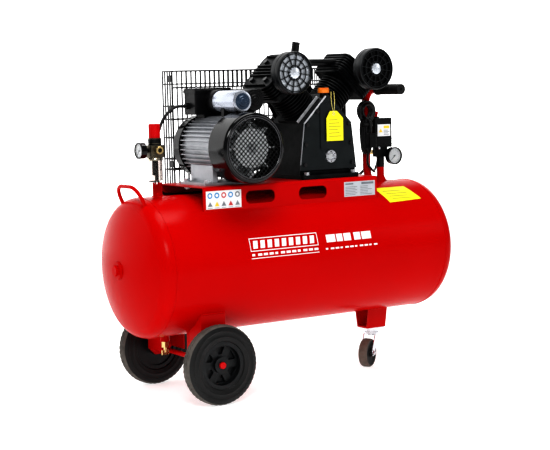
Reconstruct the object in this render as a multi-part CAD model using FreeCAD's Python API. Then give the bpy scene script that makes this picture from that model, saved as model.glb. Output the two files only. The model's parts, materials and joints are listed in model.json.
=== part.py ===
"""A wheeled 100 litre air compressor: a tank on two wheels and a caster, carrying a motor and a V-twin pump.

Millimetres. +X runs along the tank towards the caster, the -Y side faces the operator and +Z is up.
Each function makes one named sub-part about the tank's middle. main() centres the object on X = 0 and
writes each sub-part as parts/NODE.step.
"""
import FreeCAD, Part
import math
import os

V = FreeCAD.Vector
X_AXIS, Y_AXIS, Z_AXIS = V(1, 0, 0), V(0, 1, 0), V(0, 0, 1)
RUNNING_GAP = 0.05  # radial clearance of a shaft in its hole

# Tank
TANK_R = 185.0
TANK_WALL = 3.0
TANK_Z = 350.5
TANK_HALF = 438.5  # half of the cylindrical shell
DOME_CROWN_R = 400.0
DOME_KNUCKLE_R = 40.0
DOME_END = 509.0
PLUG_PROUD = 11.5  # how far the plug stands out of the left dome
CENTRING = PLUG_PROUD / 2  # moves the object's middle to X = 0
SOCKET_R, SOCKET_BORE_R = 13.0, 7.0
REG_RISER = (-381.0, 8.0)
REG_RISER_TOP = 572.0
SWITCH_RISER = (357.0, 8.0)
SWITCH_RISER_TOP = 604.0
CHECK_VALVE = (296.0, 100.0)
CHECK_VALVE_TOP = 562.0
DRAIN_X = -377.0

# Deck over the tank
DECK_X0, DECK_X1 = -314.0, 250.0
DECK_HALF_Y = 113.6
DECK_TOP = 560.0
DECK_T = 3.0
DECK_BEND_R = 6.0
SLOT_LENGTH, SLOT_HEIGHT, SLOT_Z = 92.0, 34.0, 526.0
SLOT_XS = (-137.5, 32.5)

# Wheels
AXLE_X, AXLE_Z, AXLE_R = -314.0, 104.7, 6.5
WHEEL_R, WHEEL_W, WHEEL_FACE_Y = 104.7, 42.0, 196.7
RIM_R, RIM_RING_R, HUB_R = 62.0, 52.0, 21.0
HUB_Y0, HUB_Y1 = 152.0, 186.0
SPOKES = 6
BRACKET_X0, BRACKET_X1 = -350.0, -277.0
BRACKET_Y, BRACKET_T, BRACKET_DEPTH = 145.0, 4.0, 75.0
BRACKET_LOW, BRACKET_CORNER = 88.0, 108.0

# Caster
CASTER_X = 308.0
CASTER_HALF_X, CASTER_HALF_TOP, CASTER_HALF_LOW = 33.0, 35.5, 24.0
CASTER_BOX_Z, CASTER_PLATE_T = 112.0, 4.0
CASTER_R, CASTER_TREAD, CASTER_TRAIL = 41.0, 26.0, 33.0
CASTER_HEADING = 211.0  # degrees from +X to where the wheel trails at rest
KINGPIN_R = 6.0
RACE_Z, CROWN_Z0, CROWN_Z1 = 99.4, 94.0, 99.0

# Motor
MOTOR_X, MOTOR_Z = -193.0, 658.0
MOTOR_SHELL_R, MOTOR_FIN_R, MOTOR_BORE_R = 74.0, 82.0, 66.0
MOTOR_Y0, MOTOR_Y1 = -98.0, 70.0
MOTOR_FINS = 40
BELL_R, BELL_Y1 = 85.0, 105.0
FAN_COVER_R, FAN_COVER_Y0, FAN_COVER_T = 92.5, -180.0, 2.5
GRILLE_R = 79.0
SHAFT_R = 12.0
FOOT_HALF, FOOT_T, FOOT_Y0, FOOT_Y1 = 92.0, 7.0, -78.0, 52.0
MOTOR_BOLTS = [(MOTOR_X + x, y) for x in (-78.0, 78.0) for y in (-66.0, 40.0)]

# Pump
PUMP_X, CRANK_Z = 107.0, 706.0
CASE_Y0, CASE_Y1 = -80.0, 75.0
CASE_FOOT_HALF, CASE_SHOULDER_HALF, CASE_SHOULDER_Z, CASE_APEX_Z = 95.0, 80.0, 712.0, 792.0
CASE_WALL, CASE_FLOOR = 8.0, 582.0
COVER_T = 5.0
CASE_BASE_T = 12.0
PUMP_BOLTS = [(PUMP_X + x, y) for x in (-78.0, 78.0) for y in (-90.0, 85.0)]
CASE_BASE_Y0, CASE_BASE_Y1 = -99.0, 94.0
COVER_LOW = 584.0
BANK_Y = 12.0  # half of the stagger between the two cylinders
FLANGE_U = 61.0  # distances along a cylinder's own axis from the crankshaft
BARREL_U0, BARREL_U1 = 71.0, 158.0
VALVE_U, HEAD_U, HEAD_TOP_U = 158.0, 164.0, 212.0
BORE_R, BARREL_R, FIN_R = 32.5, 40.0, 50.0
HEAD_HALF, HEAD_CORE_HALF, HEAD_CORNER_R = 66.0, 54.0, 25.0
THROW, ROD_LENGTH, CRANKPIN_R, JOURNAL_R = 20.0, 108.0, 12.0, 15.0
FILTER_R, FILTER_DEPTH = 57.5, 38.0
FILTERS = ((-26.0, -127.0, 850.0, 13.0), (240.0, -136.0, 857.0, 20.0))  # x, face y, z and neck radius

# Belt drive
FLYWHEEL_R, FLYWHEEL_RIM_R, FLYWHEEL_HUB_R = 140.0, 110.0, 30.0
FLYWHEEL_Y0, FLYWHEEL_Y1 = 126.0, 160.0
FLYWHEEL_SPOKES = 6
BELT_Y, BELT_W, BELT_DEPTH = 143.0, 11.0, 8.0
GROOVE_W, GROOVE_DEPTH = 14.0, 10.0
PULLEY_R, PULLEY_W = 38.0, 22.0
BELT_SUNK = 0.5  # the belt's back lies this far inside the rims

# Belt guard
GUARD_X0, GUARD_X1 = -268.0, 275.0
GUARD_Y0, GUARD_Y1 = DECK_HALF_Y, 170.0
GUARD_Z0, GUARD_Z1 = 552.0, 864.0
WIRE = 3.0
WIRE_PITCH, GUARD_BORDER = 15.0, 45.0
GUARD_RAILS = (593.0, 622.0, 680.0, 730.0, 766.0, 826.0)

# Handles
PUSH_X, PUSH_Y, PUSH_TOP = 311.0, 13.0, 799.0
PUSH_R, PUSH_WALL, PUSH_BEND = 11.0, 2.0, 40.0
GRIP_R, GRIP_Y0, GRIP_Y1 = 14.5, -152.0, -44.0
CARRY_R, CARRY_BEND = 5.0, 37.0

# Pressure switch
SWITCH_X0, SWITCH_X1, SWITCH_Y0, SWITCH_Y1 = 325.0, 388.0, -11.0, 58.0
SWITCH_Z0, SWITCH_Z1, SWITCH_WALL = 632.0, 716.0, 2.5
BUTTON_X, BUTTON_Y, BUTTON_R, BUTTON_TOP = 345.0, 12.0, 8.0, 735.0
TANK_GAUGE = (389.0, -22.0, 606.0)
TANK_GAUGE_R, GAUGE_DEPTH = 25.0, 16.0
SAFETY_X, SAFETY_Y, SAFETY_Z = 357.0, 22.0, 616.0

# Regulator
REG_X, REG_Y, REG_PORT_Z = -406.0, -30.0, 659.0
REG_HALF_X, REG_HALF_Y, REG_Z0, REG_Z1 = 20.5, 17.0, 640.0, 672.0
KNOB_R, KNOB_Z0, KNOB_Z1, SPIGOT_R = 15.0, 690.3, 727.0, 8.0
BOWL_R, BOWL_Z0, BOWL_WALL = 19.0, 577.0, 2.0
OUTLET_R, OUTLET_LENGTH, OUTLET_FACE_Y = 5.7, 12.0, -58.0
OUTLET_GAUGE_R, OUTLET_GAUGE_X = 21.0, -455.0

# Electrics
TERMINAL_BOX = (-250.0, -135.0, 22.5, 83.0, 744.5, 815.0)
CAPACITORS = ((-190.0, 779.0, 28.5, -120.0), (-131.0, 781.0, 29.5, -88.0))  # x, z, radius and front y
MOTOR_LEAD_R, MAINS_R = 4.0, 3.5
MOTOR_LEAD = (
    (-260, 60, 768), (-292, 60, 768), (-320, 74, 740), (-332, 90, 690), (-337, 96, 630),
    (-338, 95, 580), (-330, 88, 534), (-280, 82, 530), (-180, 83, 532), (-70, 81, 531),
    (50, 84, 531), (150, 82, 532), (240, 79, 532), (296, 70, 537), (330, 54, 560), (341, 43, 592),
    (341, 43, 622),
)
MAINS_LEAD = (
    (377, 44, 622), (377, 44, 596), (364, 38, 572), (342, 20, 562), (326, -4, 562),
    (307, -17, 570), (293, -13, 588), (293, -13, 612),
)
HANK_X, HANK_Y, HANK_HALF_Y = 293.0, -13.0, 13.0
HANK_LOW, HANK_RING_Z, HANK_RING_R, HANK_HOLE_R, HANK_HALF_X = 612.0, 735.0, 35.0, 17.0, 18.0


def box(x0, x1, y0, y1, z0, z1):
    return Part.makeBox(x1 - x0, y1 - y0, z1 - z0, V(x0, y0, z0))


def rod(radius, start, end):
    """A round bar from one point to another."""
    start, end = V(*start), V(*end)
    return Part.makeCylinder(radius, (end - start).Length, start, end - start)


def ring(outer_r, inner_r, start, end):
    return rod(outer_r, start, end).cut(rod(inner_r, start, end))


def prism(points, direction):
    """The solid swept by a closed polygon along a direction."""
    corners = [V(*p) for p in points]
    return Part.Face(Part.makePolygon(corners + corners[:1])).extrude(V(*direction))


def fused(shapes):
    """One solid of several, with its flush faces joined."""
    return shapes[0].multiFuse(list(shapes[1:])).removeSplitter()


def rounded(shape, radius, direction):
    """A shape whose straight edges along a direction are rounded."""
    edges = []
    for edge in shape.Edges:
        run = edge.Vertexes[-1].Point - edge.Vertexes[0].Point
        if len(edge.Vertexes) == 2 and run.cross(direction).Length < 1e-6:
            edges.append(edge)
    return shape.makeFillet(radius, edges)


def rims_at(shape, y):
    """A shape's round edges that lie in a plane of constant Y."""
    return [edge for edge in shape.Edges if abs(edge.CenterOfMass.y - y) < 1e-6 and len(edge.Vertexes) == 1]


def moved(shape, x, y, z):
    placed = shape.copy()
    placed.translate(V(x, y, z))
    return placed


def turned(shape, degrees, axis=Z_AXIS, centre=V(0, 0, 0)):
    placed = shape.copy()
    placed.rotate(centre, axis, degrees)
    return placed


def hex_bar(across_flats, start, end):
    """A six-sided bar from one point to another."""
    start, end = V(*start), V(*end)
    r = across_flats / math.sqrt(3)
    corners = [V(r * math.cos(k * math.pi / 3), r * math.sin(k * math.pi / 3), 0) for k in range(6)]
    bar = Part.Face(Part.makePolygon(corners + corners[:1])).extrude(V(0, 0, (end - start).Length))
    bar.Placement = FreeCAD.Placement(start, FreeCAD.Rotation(Z_AXIS, end - start))
    return bar


def route_wire(points, bend=None):
    """Straight runs joined by tangent arcs, and the arcs' radii.

    Without a bend radius each arc is as large as its two runs allow.
    """
    points = [V(*p) for p in points]
    edges, radii = [], []
    last = points[0]
    for before, corner, after in zip(points, points[1:], points[2:]):
        shorter = min((corner - before).Length, (after - corner).Length)
        inward, outward = V(corner - before).normalize(), V(after - corner).normalize()
        half_turn = inward.getAngle(outward) / 2
        reach = 0.45 * shorter
        if bend:
            reach = min(reach * 2, bend * math.tan(half_turn))
        radius = reach / math.tan(half_turn)
        start, end = corner - inward * reach, corner + outward * reach
        towards_centre = V(outward - inward).normalize()
        middle = corner + towards_centre * (radius / math.cos(half_turn) - radius)
        edges += [Part.LineSegment(last, start).toShape(), Part.Arc(start, middle, end).toShape()]
        radii.append(radius)
        last = end
    edges.append(Part.LineSegment(last, points[-1]).toShape())
    return Part.Wire(edges), radii


def tube_along(points, radius, hole=0.0, bend=None):
    """A round bar that follows a route, or a tube if it has a hole."""
    wire, _ = route_wire(points, bend)
    start, direction = V(*points[0]), V(*points[1]) - V(*points[0])

    def swept(r):
        profile = Part.Wire(Part.makeCircle(r, start, direction))
        return wire.makePipeShell([profile], True, False)

    return swept(radius).cut(swept(hole)) if hole else swept(radius)


def on_pump(shape, side):
    """Puts a part drawn upright over the crankshaft into the left (-1) or right (+1) cylinder's place."""
    return moved(turned(shape, 45 * side, Y_AXIS), PUMP_X, BANK_Y * side, CRANK_Z)


# ---- tank and frame ----


def dome_profile(offset):
    """Half of a dished end's section, offset inwards: a small knuckle arc and a large crown arc."""
    crown, knuckle, radius = DOME_CROWN_R - offset, DOME_KNUCKLE_R - offset, TANK_R - offset
    knuckle_r = TANK_R - DOME_KNUCKLE_R
    crown_x = -math.sqrt((DOME_CROWN_R - DOME_KNUCKLE_R) ** 2 - knuckle_r**2)
    joint_turn = math.atan2(knuckle_r, -crown_x)

    def on_knuckle(turn):
        return V(knuckle * math.cos(turn), 0, knuckle_r + knuckle * math.sin(turn))

    def on_crown(turn):
        return V(crown_x + crown * math.cos(turn), 0, crown * math.sin(turn))

    edge, centre = V(0, 0, radius), V(0, 0, 0)
    arcs = [
        Part.Arc(edge, on_knuckle((joint_turn + math.pi / 2) / 2), on_knuckle(joint_turn)),
        Part.Arc(on_knuckle(joint_turn), on_crown(joint_turn / 2), on_crown(0)),
    ]
    straights = [Part.LineSegment(on_crown(0), centre), Part.LineSegment(centre, edge)]
    return Part.Face(Part.Wire([e.toShape() for e in arcs + straights]))


def dome_solid(side, offset):
    solid = dome_profile(offset).revolve(V(0, 0, 0), X_AXIS, 360)
    if side < 0:
        solid = turned(solid, 180)
    return moved(solid, side * TANK_HALF, 0, TANK_Z)


def tank_cylinder(radius):
    return rod(radius, (-TANK_HALF, 0, TANK_Z), (TANK_HALF, 0, TANK_Z))


def off_tank(shape):
    """A part with everything inside the tank's outline cut away."""
    return shape.cut(tank_cylinder(TANK_R)).cut(dome_solid(-1, 0)).cut(dome_solid(1, 0))


def tank_shell():
    shell = tank_cylinder(TANK_R).cut(tank_cylinder(TANK_R - TANK_WALL))
    for x, y in (REG_RISER, SWITCH_RISER, CHECK_VALVE):
        shell = shell.cut(rod(SOCKET_BORE_R, (x, y, TANK_Z), (x, y, DECK_TOP)))
    return shell.cut(rod(SOCKET_BORE_R, (DRAIN_X, 0, 0), (DRAIN_X, 0, TANK_Z)))


def tank_domes():
    left, right = (dome_solid(side, 0).cut(dome_solid(side, TANK_WALL)) for side in (-1, 1))
    left = left.cut(rod(SOCKET_BORE_R, (-DOME_END - 5, 0, TANK_Z), (-TANK_HALF, 0, TANK_Z)))
    return Part.makeCompound([left, right])


def tank_sockets():
    """Threaded bosses welded to the tank: regulator, switch, check valve, drain and inspection plug."""
    reg_x, reg_y = REG_RISER
    switch_x, switch_y = SWITCH_RISER
    check_x, check_y = CHECK_VALVE
    flare = Part.makeCone(18, 10.7, 16, V(switch_x, switch_y, DECK_TOP - 26))
    riser = fused([
        rod(18, (switch_x, switch_y, 500), (switch_x, switch_y, DECK_TOP - 26)), flare,
        rod(10.7, (switch_x, switch_y, 540), (switch_x, switch_y, SWITCH_RISER_TOP)),
    ])
    solids = [
        ring(SOCKET_R, SOCKET_BORE_R, (reg_x, reg_y, 480), (reg_x, reg_y, REG_RISER_TOP)),
        riser.cut(rod(SOCKET_BORE_R, (switch_x, switch_y, 490), (switch_x, switch_y, SWITCH_RISER_TOP))),
        ring(SOCKET_R + 3, SOCKET_BORE_R, (check_x, check_y, 480), (check_x, check_y, 518)),
        ring(SOCKET_R, SOCKET_BORE_R, (DRAIN_X, 0, 150), (DRAIN_X, 0, 180)),
        ring(22, SOCKET_BORE_R, (-DOME_END - 4, 0, TANK_Z), (-TANK_HALF - 40, 0, TANK_Z)),
    ]
    return Part.makeCompound([off_tank(s) for s in solids] + [dome_plug()])


def dome_plug():
    """A hexagon-headed plug screwed into the left dome."""
    face = -DOME_END - 4
    head = hex_bar(24, (face, 0, TANK_Z), (-DOME_END - PLUG_PROUD, 0, TANK_Z))
    return fused([head, rod(SOCKET_BORE_R, (face, 0, TANK_Z), (face + 20, 0, TANK_Z))])


def deck_bolt_holes():
    return [rod(5, (x, y, 500), (x, y, DECK_TOP + 30)) for x, y in MOTOR_BOLTS + PUMP_BOLTS]


def deck_plate():
    """A folded sheet with two skirts that stand on the tank, slotted for grip."""
    outer = box(DECK_X0, DECK_X1, -DECK_HALF_Y, DECK_HALF_Y, TANK_Z, DECK_TOP)
    inside_y = DECK_HALF_Y - DECK_T
    inner = box(DECK_X0 - 1, DECK_X1 + 1, -inside_y, inside_y, TANK_Z - 20, DECK_TOP - DECK_T)
    sheet = rounded(outer, DECK_BEND_R, X_AXIS).cut(rounded(inner, DECK_BEND_R - DECK_T, X_AXIS))
    for x in SLOT_XS:
        half_x, half_y, half_z = SLOT_LENGTH / 2, DECK_HALF_Y + 5, SLOT_HEIGHT / 2
        slot = box(x - half_x, x + half_x, -half_y, half_y, SLOT_Z - half_z, SLOT_Z + half_z)
        sheet = sheet.cut(rounded(slot, half_z - 2, Y_AXIS))
    return off_tank(sheet).cut(Part.makeCompound(deck_bolt_holes()))


def wheel_bracket(side):
    """A channel of folded plate that stands under the tank and carries the axle."""
    web_profile = [
        (BRACKET_X0, BRACKET_CORNER), (-330, BRACKET_LOW), (-298, BRACKET_LOW), (BRACKET_X1, BRACKET_CORNER),
        (BRACKET_X1, TANK_Z), (BRACKET_X0, TANK_Z),
    ]
    web = prism([(x, BRACKET_Y - BRACKET_T, z) for x, z in web_profile], (0, BRACKET_T, 0))
    inner_y = BRACKET_Y - BRACKET_DEPTH
    flanges = [
        box(x, x + BRACKET_T, inner_y, BRACKET_Y - BRACKET_T, BRACKET_CORNER, TANK_Z)
        for x in (BRACKET_X0, BRACKET_X1 - BRACKET_T)
    ]
    bracket = off_tank(fused([web] + flanges))
    bracket = bracket.cut(rod(AXLE_R, (AXLE_X, 0, AXLE_Z), (AXLE_X, 200, AXLE_Z)))
    return bracket if side > 0 else bracket.mirror(V(0, 0, 0), Y_AXIS)


def caster_bracket():
    """A tapered box of plate, open along the tank, over the caster."""
    def trapezoid(inset, x0, x1, low):
        corners = [
            (x0, -CASTER_HALF_LOW + inset, low), (x0, CASTER_HALF_LOW - inset, low),
            (x0, CASTER_HALF_TOP - inset, 180), (x0, -CASTER_HALF_TOP + inset, 180),
        ]
        return prism(corners, (x1 - x0, 0, 0))

    x0, x1 = CASTER_X - CASTER_HALF_X, CASTER_X + CASTER_HALF_X
    plates = trapezoid(0, x0, x1, CASTER_BOX_Z)
    plates = plates.cut(trapezoid(CASTER_PLATE_T, x0 - 1, x1 + 1, CASTER_BOX_Z + CASTER_PLATE_T))
    return off_tank(plates).cut(rod(KINGPIN_R, (CASTER_X, 0, 100), (CASTER_X, 0, 130)))


def wheel_brackets():
    return Part.makeCompound([wheel_bracket(-1), wheel_bracket(1), caster_bracket()])


def axle_bar():
    """The axle, with a collar inside each wheel."""
    bar = rod(AXLE_R, (AXLE_X, -HUB_Y1 - 0.4, AXLE_Z), (AXLE_X, HUB_Y1 + 0.4, AXLE_Z))
    solids = [bar]
    for side in (-1, 1):
        solids.append(rod(11, (AXLE_X, side * BRACKET_Y, AXLE_Z), (AXLE_X, side * (HUB_Y0 - 0.4), AXLE_Z)))
    return fused(solids)


def axle_caps():
    """A pressed cap on each end of the axle."""
    caps = []
    for side in (-1, 1):
        face = side * (HUB_Y1 + 0.4)
        end = face + side * 7
        cap = rod(9, (AXLE_X, face, AXLE_Z), (AXLE_X, end, AXLE_Z))
        caps.append(cap.makeFillet(3, rims_at(cap, end)))
    return Part.makeCompound(caps)


def tyre(side):
    """A solid rubber tyre with rounded shoulders."""
    half_w, outer, bead = WHEEL_W / 2, WHEEL_R, RIM_R
    shoulder = 11.0
    profile = [
        (bead, -half_w + 6), (80, -half_w), (outer - shoulder, -half_w + 2), (outer, -half_w + shoulder),
        (outer, half_w - shoulder), (outer - shoulder, half_w - 2), (80, half_w), (bead, half_w - 6),
    ]
    face = Part.Face(Part.makePolygon([V(r, y, 0) for r, y in profile + profile[:1]]))
    solid = face.revolve(V(0, 0, 0), Y_AXIS, 360)
    return moved(solid, AXLE_X, side * (WHEEL_FACE_Y - half_w), AXLE_Z)


def rim(side):
    """A hub, a dished web with windows between its spokes, and the rim that holds the tyre."""
    web = rod(RIM_RING_R + 2, (0, 168, 0), (0, 176, 0))
    gap_in, gap_out = HUB_R + 6, RIM_RING_R - 6
    for k in range(SPOKES):
        corners = [(gap_in, 160, -5), (gap_out, 160, -14), (gap_out, 160, 14), (gap_in, 160, 5)]
        web = web.cut(turned(prism(corners, (0, 25, 0)), (k + 0.5) * 360 / SPOKES, Y_AXIS))
    half_w, mid = WHEEL_W / 2, WHEEL_FACE_Y - WHEEL_W / 2
    wheel = fused([
        web, ring(RIM_R, RIM_RING_R, (0, mid - half_w + 6, 0), (0, mid + half_w - 6, 0)),
        rod(HUB_R, (0, HUB_Y0, 0), (0, HUB_Y1, 0)),
    ])
    wheel = wheel.cut(rod(AXLE_R + RUNNING_GAP, (0, HUB_Y0 - 1, 0), (0, HUB_Y1 + 1, 0)))
    if side < 0:
        wheel = turned(wheel, 180)
    return moved(wheel, AXLE_X, 0, AXLE_Z)


def at_caster(shape):
    return moved(turned(shape, CASTER_HEADING), CASTER_X, 0, 0)


def caster_plate():
    """The caster's fixed plate, ball race and kingpin."""
    plate = box(-30, 30, -CASTER_HALF_LOW + 1, CASTER_HALF_LOW - 1, CASTER_BOX_Z - 3, CASTER_BOX_Z)
    race = rod(20, (0, 0, RACE_Z), (0, 0, CASTER_BOX_Z - 3))
    pin = rod(KINGPIN_R, (0, 0, CROWN_Z0 - 6), (0, 0, CASTER_BOX_Z + 12))
    head = rod(10, (0, 0, CROWN_Z0 - 6), (0, 0, CROWN_Z0 - 0.4))
    return moved(fused([plate, race, pin, head]), CASTER_X, 0, 0)


def caster_fork():
    """A crown that turns on the kingpin, two legs and the wheel's axle."""
    leg_y, leg_t = CASTER_TREAD / 2 + 3, 2.5
    crown = rod(23, (0, 0, CROWN_Z0), (0, 0, CROWN_Z1))
    ears = box(-14, 14, -leg_y - leg_t, leg_y + leg_t, CROWN_Z0, CROWN_Z1)
    pin_space = rod(KINGPIN_R + RUNNING_GAP, (0, 0, 90), (0, 0, 105))
    legs = []
    for y in (-leg_y - leg_t, leg_y):
        corners = [
            (-14, y, CROWN_Z0), (14, y, CROWN_Z0), (CASTER_TRAIL + 9, y, CASTER_R + 4),
            (CASTER_TRAIL + 4, y, CASTER_R - 9), (CASTER_TRAIL - 8, y, CASTER_R - 8),
        ]
        legs.append(prism(corners, (0, leg_t, 0)))
    axle = rod(4, (CASTER_TRAIL, -leg_y - leg_t - 3, CASTER_R), (CASTER_TRAIL, leg_y + leg_t + 3, CASTER_R))
    return at_caster(fused([crown, ears, axle] + legs).cut(pin_space))


def caster_wheel():
    half = CASTER_TREAD / 2
    disc = rod(CASTER_R, (CASTER_TRAIL, -half, CASTER_R), (CASTER_TRAIL, half, CASTER_R))
    disc = disc.makeFillet(5, rims_at(disc, -half) + rims_at(disc, half))
    hub = rod(12, (CASTER_TRAIL, -half - 2.4, CASTER_R), (CASTER_TRAIL, half + 2.4, CASTER_R))
    bore = rod(4 + RUNNING_GAP, (CASTER_TRAIL, -half - 5, CASTER_R), (CASTER_TRAIL, half + 5, CASTER_R))
    return at_caster(fused([disc, hub]).cut(bore))


def carry_handle():
    points = [(-452, -60, 508), (-478, -60, 567), (-478, 60, 567), (-452, 60, 508)]
    return off_tank(tube_along(points, CARRY_R, bend=CARRY_BEND))


def push_handle():
    """A bent tube that rises from the tank's right end and turns towards the operator."""
    points = [
        (PUSH_X + 12, PUSH_Y, 515), (PUSH_X, PUSH_Y, 575),
        (PUSH_X, PUSH_Y, PUSH_TOP), (PUSH_X, GRIP_Y0 + 6, PUSH_TOP),
    ]
    return off_tank(tube_along(points, PUSH_R, PUSH_R - PUSH_WALL, PUSH_BEND))


def handle_grip():
    """A ribbed rubber sleeve, closed but for a vent hole at its end."""
    end = (PUSH_X, GRIP_Y0, PUSH_TOP)
    sleeve = rod(GRIP_R, end, (PUSH_X, GRIP_Y1, PUSH_TOP))
    sleeve = sleeve.cut(rod(PUSH_R, (PUSH_X, GRIP_Y0 + 6, PUSH_TOP), (PUSH_X, GRIP_Y1, PUSH_TOP)))
    sleeve = sleeve.cut(rod(3, end, (PUSH_X, GRIP_Y0 + 6, PUSH_TOP)))
    collar = ring(GRIP_R + 1.5, PUSH_R, (PUSH_X, GRIP_Y1 - 5, PUSH_TOP), (PUSH_X, GRIP_Y1, PUSH_TOP))
    return fused([sleeve, collar])


# ---- motor ----


def motor_rod(radius, y0, y1):
    return rod(radius, (MOTOR_X, y0, MOTOR_Z), (MOTOR_X, y1, MOTOR_Z))


def motor_ring(outer_r, inner_r, y0, y1):
    return motor_rod(outer_r, y0, y1).cut(motor_rod(inner_r, y0, y1))


def motor_housing():
    """A finned aluminium barrel with a front end wall and a foot."""
    fins = []
    for k in range(MOTOR_FINS):
        fin = box(MOTOR_SHELL_R - 1, MOTOR_FIN_R, MOTOR_Y0, MOTOR_Y1, -1.2, 1.2)
        fins.append(moved(turned(fin, (k + 0.5) * 360 / MOTOR_FINS, Y_AXIS), MOTOR_X, 0, MOTOR_Z))
    legs = [box(MOTOR_X + x, MOTOR_X + x + 14, FOOT_Y0 + 8, FOOT_Y1 - 8, DECK_TOP, 612) for x in (-64, 50)]
    foot = box(MOTOR_X - FOOT_HALF, MOTOR_X + FOOT_HALF, FOOT_Y0, FOOT_Y1, DECK_TOP, DECK_TOP + FOOT_T)
    barrel = motor_rod(MOTOR_SHELL_R, MOTOR_Y0, MOTOR_Y1)
    body = fused([barrel, foot] + legs + fins)
    body = body.cut(motor_rod(MOTOR_BORE_R, MOTOR_Y0 + 6, MOTOR_Y1))
    body = body.cut(motor_rod(SHAFT_R + RUNNING_GAP, MOTOR_Y0 - 1, MOTOR_Y0 + 7))
    return body.cut(Part.makeCompound([rod(5, (x, y, 540), (x, y, 590)) for x, y in MOTOR_BOLTS]))


def motor_end_bell():
    """The belt-side end of the motor, with air slots round its face."""
    bell = motor_rod(BELL_R, MOTOR_Y1, BELL_Y1)
    bell = bell.makeFillet(8, rims_at(bell, BELL_Y1))
    bell = bell.cut(motor_rod(BELL_R - 8, MOTOR_Y1 - 1, BELL_Y1 - 7))
    bell = bell.cut(motor_rod(SHAFT_R + RUNNING_GAP, MOTOR_Y1 - 1, BELL_Y1 + 1))
    for k in range(12):
        vent = box(35, 62, BELL_Y1 - 10, BELL_Y1 + 1, -4, 4)
        bell = bell.cut(moved(turned(vent, k * 30, Y_AXIS), MOTOR_X, 0, MOTOR_Z))
    return bell


def fan_cover():
    """A deep-drawn cover whose face is a diagonal lattice inside a ring."""
    y0, y1 = FAN_COVER_Y0, MOTOR_Y0
    shell = motor_rod(FAN_COVER_R, y0, y1)
    shell = shell.makeFillet(9, rims_at(shell, y0))
    shell = shell.cut(motor_rod(FAN_COVER_R - FAN_COVER_T, y0 + 9, y1))
    shell = shell.cut(motor_rod(GRILLE_R, y0 - 1, y0 + 10))
    bars = []
    for k in range(-8, 9):
        for turn in (45, -45):
            bar = box(k * 9.5 - 1, k * 9.5 + 1, y0 + 3, y0 + 5, -GRILLE_R, GRILLE_R)
            bars.append(moved(turned(bar, turn, Y_AXIS), MOTOR_X, 0, MOTOR_Z))
    lattice = fused(bars).common(motor_rod(GRILLE_R + 1, y0, y0 + 9))
    shell = fused([shell, lattice])
    return shell.cut(motor_ring(FAN_COVER_R + 1, MOTOR_SHELL_R, MOTOR_Y0, MOTOR_Y0 + 1))


def motor_stator():
    return motor_ring(MOTOR_BORE_R, 42, -62, 46)


def motor_rotor():
    """The shaft with its rotor core."""
    return fused([motor_rod(SHAFT_R, -166, 158), motor_rod(41.5, -58, 42)])


def motor_fan():
    """A hub with eight straight blades that move the same air both ways."""
    solids = [motor_rod(22, -160, -119), motor_rod(72, -122, -119)]
    for k in range(8):
        blade = turned(box(20, 72, -160, -122, -1.5, 1.5), k * 45, Y_AXIS)
        solids.append(moved(blade, MOTOR_X, 0, MOTOR_Z))
    return fused(solids).cut(motor_rod(SHAFT_R, -170, -110))


def terminal_box():
    """The connection box on the motor, its foot and the saddle under the capacitors."""
    x0, x1, y0, y1, z0, z1 = TERMINAL_BOX
    wall = 2.5
    outer = rounded(box(x0, x1, y0, y1, z0, z1), 4, Z_AXIS)
    shell = outer.cut(box(x0 + wall, x1 - wall, y0 + wall, y1 - wall, z0 + wall, z1 - wall))
    foot = box(MOTOR_X - 28, MOTOR_X + 28, y0 + 4, MOTOR_Y1 - 2, MOTOR_Z, z0)
    saddle = box(-213, -118, -62, -48, MOTOR_Z, 768)
    saddle = saddle.cut(Part.makeCompound([capacitor(*c) for c in CAPACITORS]))
    motor_space = motor_rod(MOTOR_FIN_R, -120, 100)
    return Part.makeCompound([fused([shell, foot.cut(motor_space)]), saddle.cut(motor_space)])


def capacitor(x, z, radius, front_y):
    can = rod(radius, (x, front_y, z), (x, TERMINAL_BOX[2], z))
    return can.makeFillet(4, rims_at(can, front_y))


def capacitors():
    """The start and run capacitors, with a moulded boss on each closed end."""
    cans = []
    for x, z, radius, front_y in CAPACITORS:
        boss = rod(7, (x, front_y - 4, z), (x, front_y + 1, z))
        cans.append(fused([capacitor(x, z, radius, front_y), boss]))
    return Part.makeCompound(cans)


# ---- pump ----


def case_outline(inset, foot_z):
    """The pump case's section as points, from foot to foot."""
    slope_inset = inset * math.tan(math.radians(22.5))
    foot, shoulder = CASE_FOOT_HALF - inset, CASE_SHOULDER_HALF - inset
    apex = CASE_APEX_Z - inset * math.sqrt(2)
    shoulder_z = CASE_SHOULDER_Z - slope_inset
    return [
        (PUMP_X - foot, foot_z), (PUMP_X - shoulder, shoulder_z), (PUMP_X, apex),
        (PUMP_X + shoulder, shoulder_z), (PUMP_X + foot, foot_z),
    ]


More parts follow.
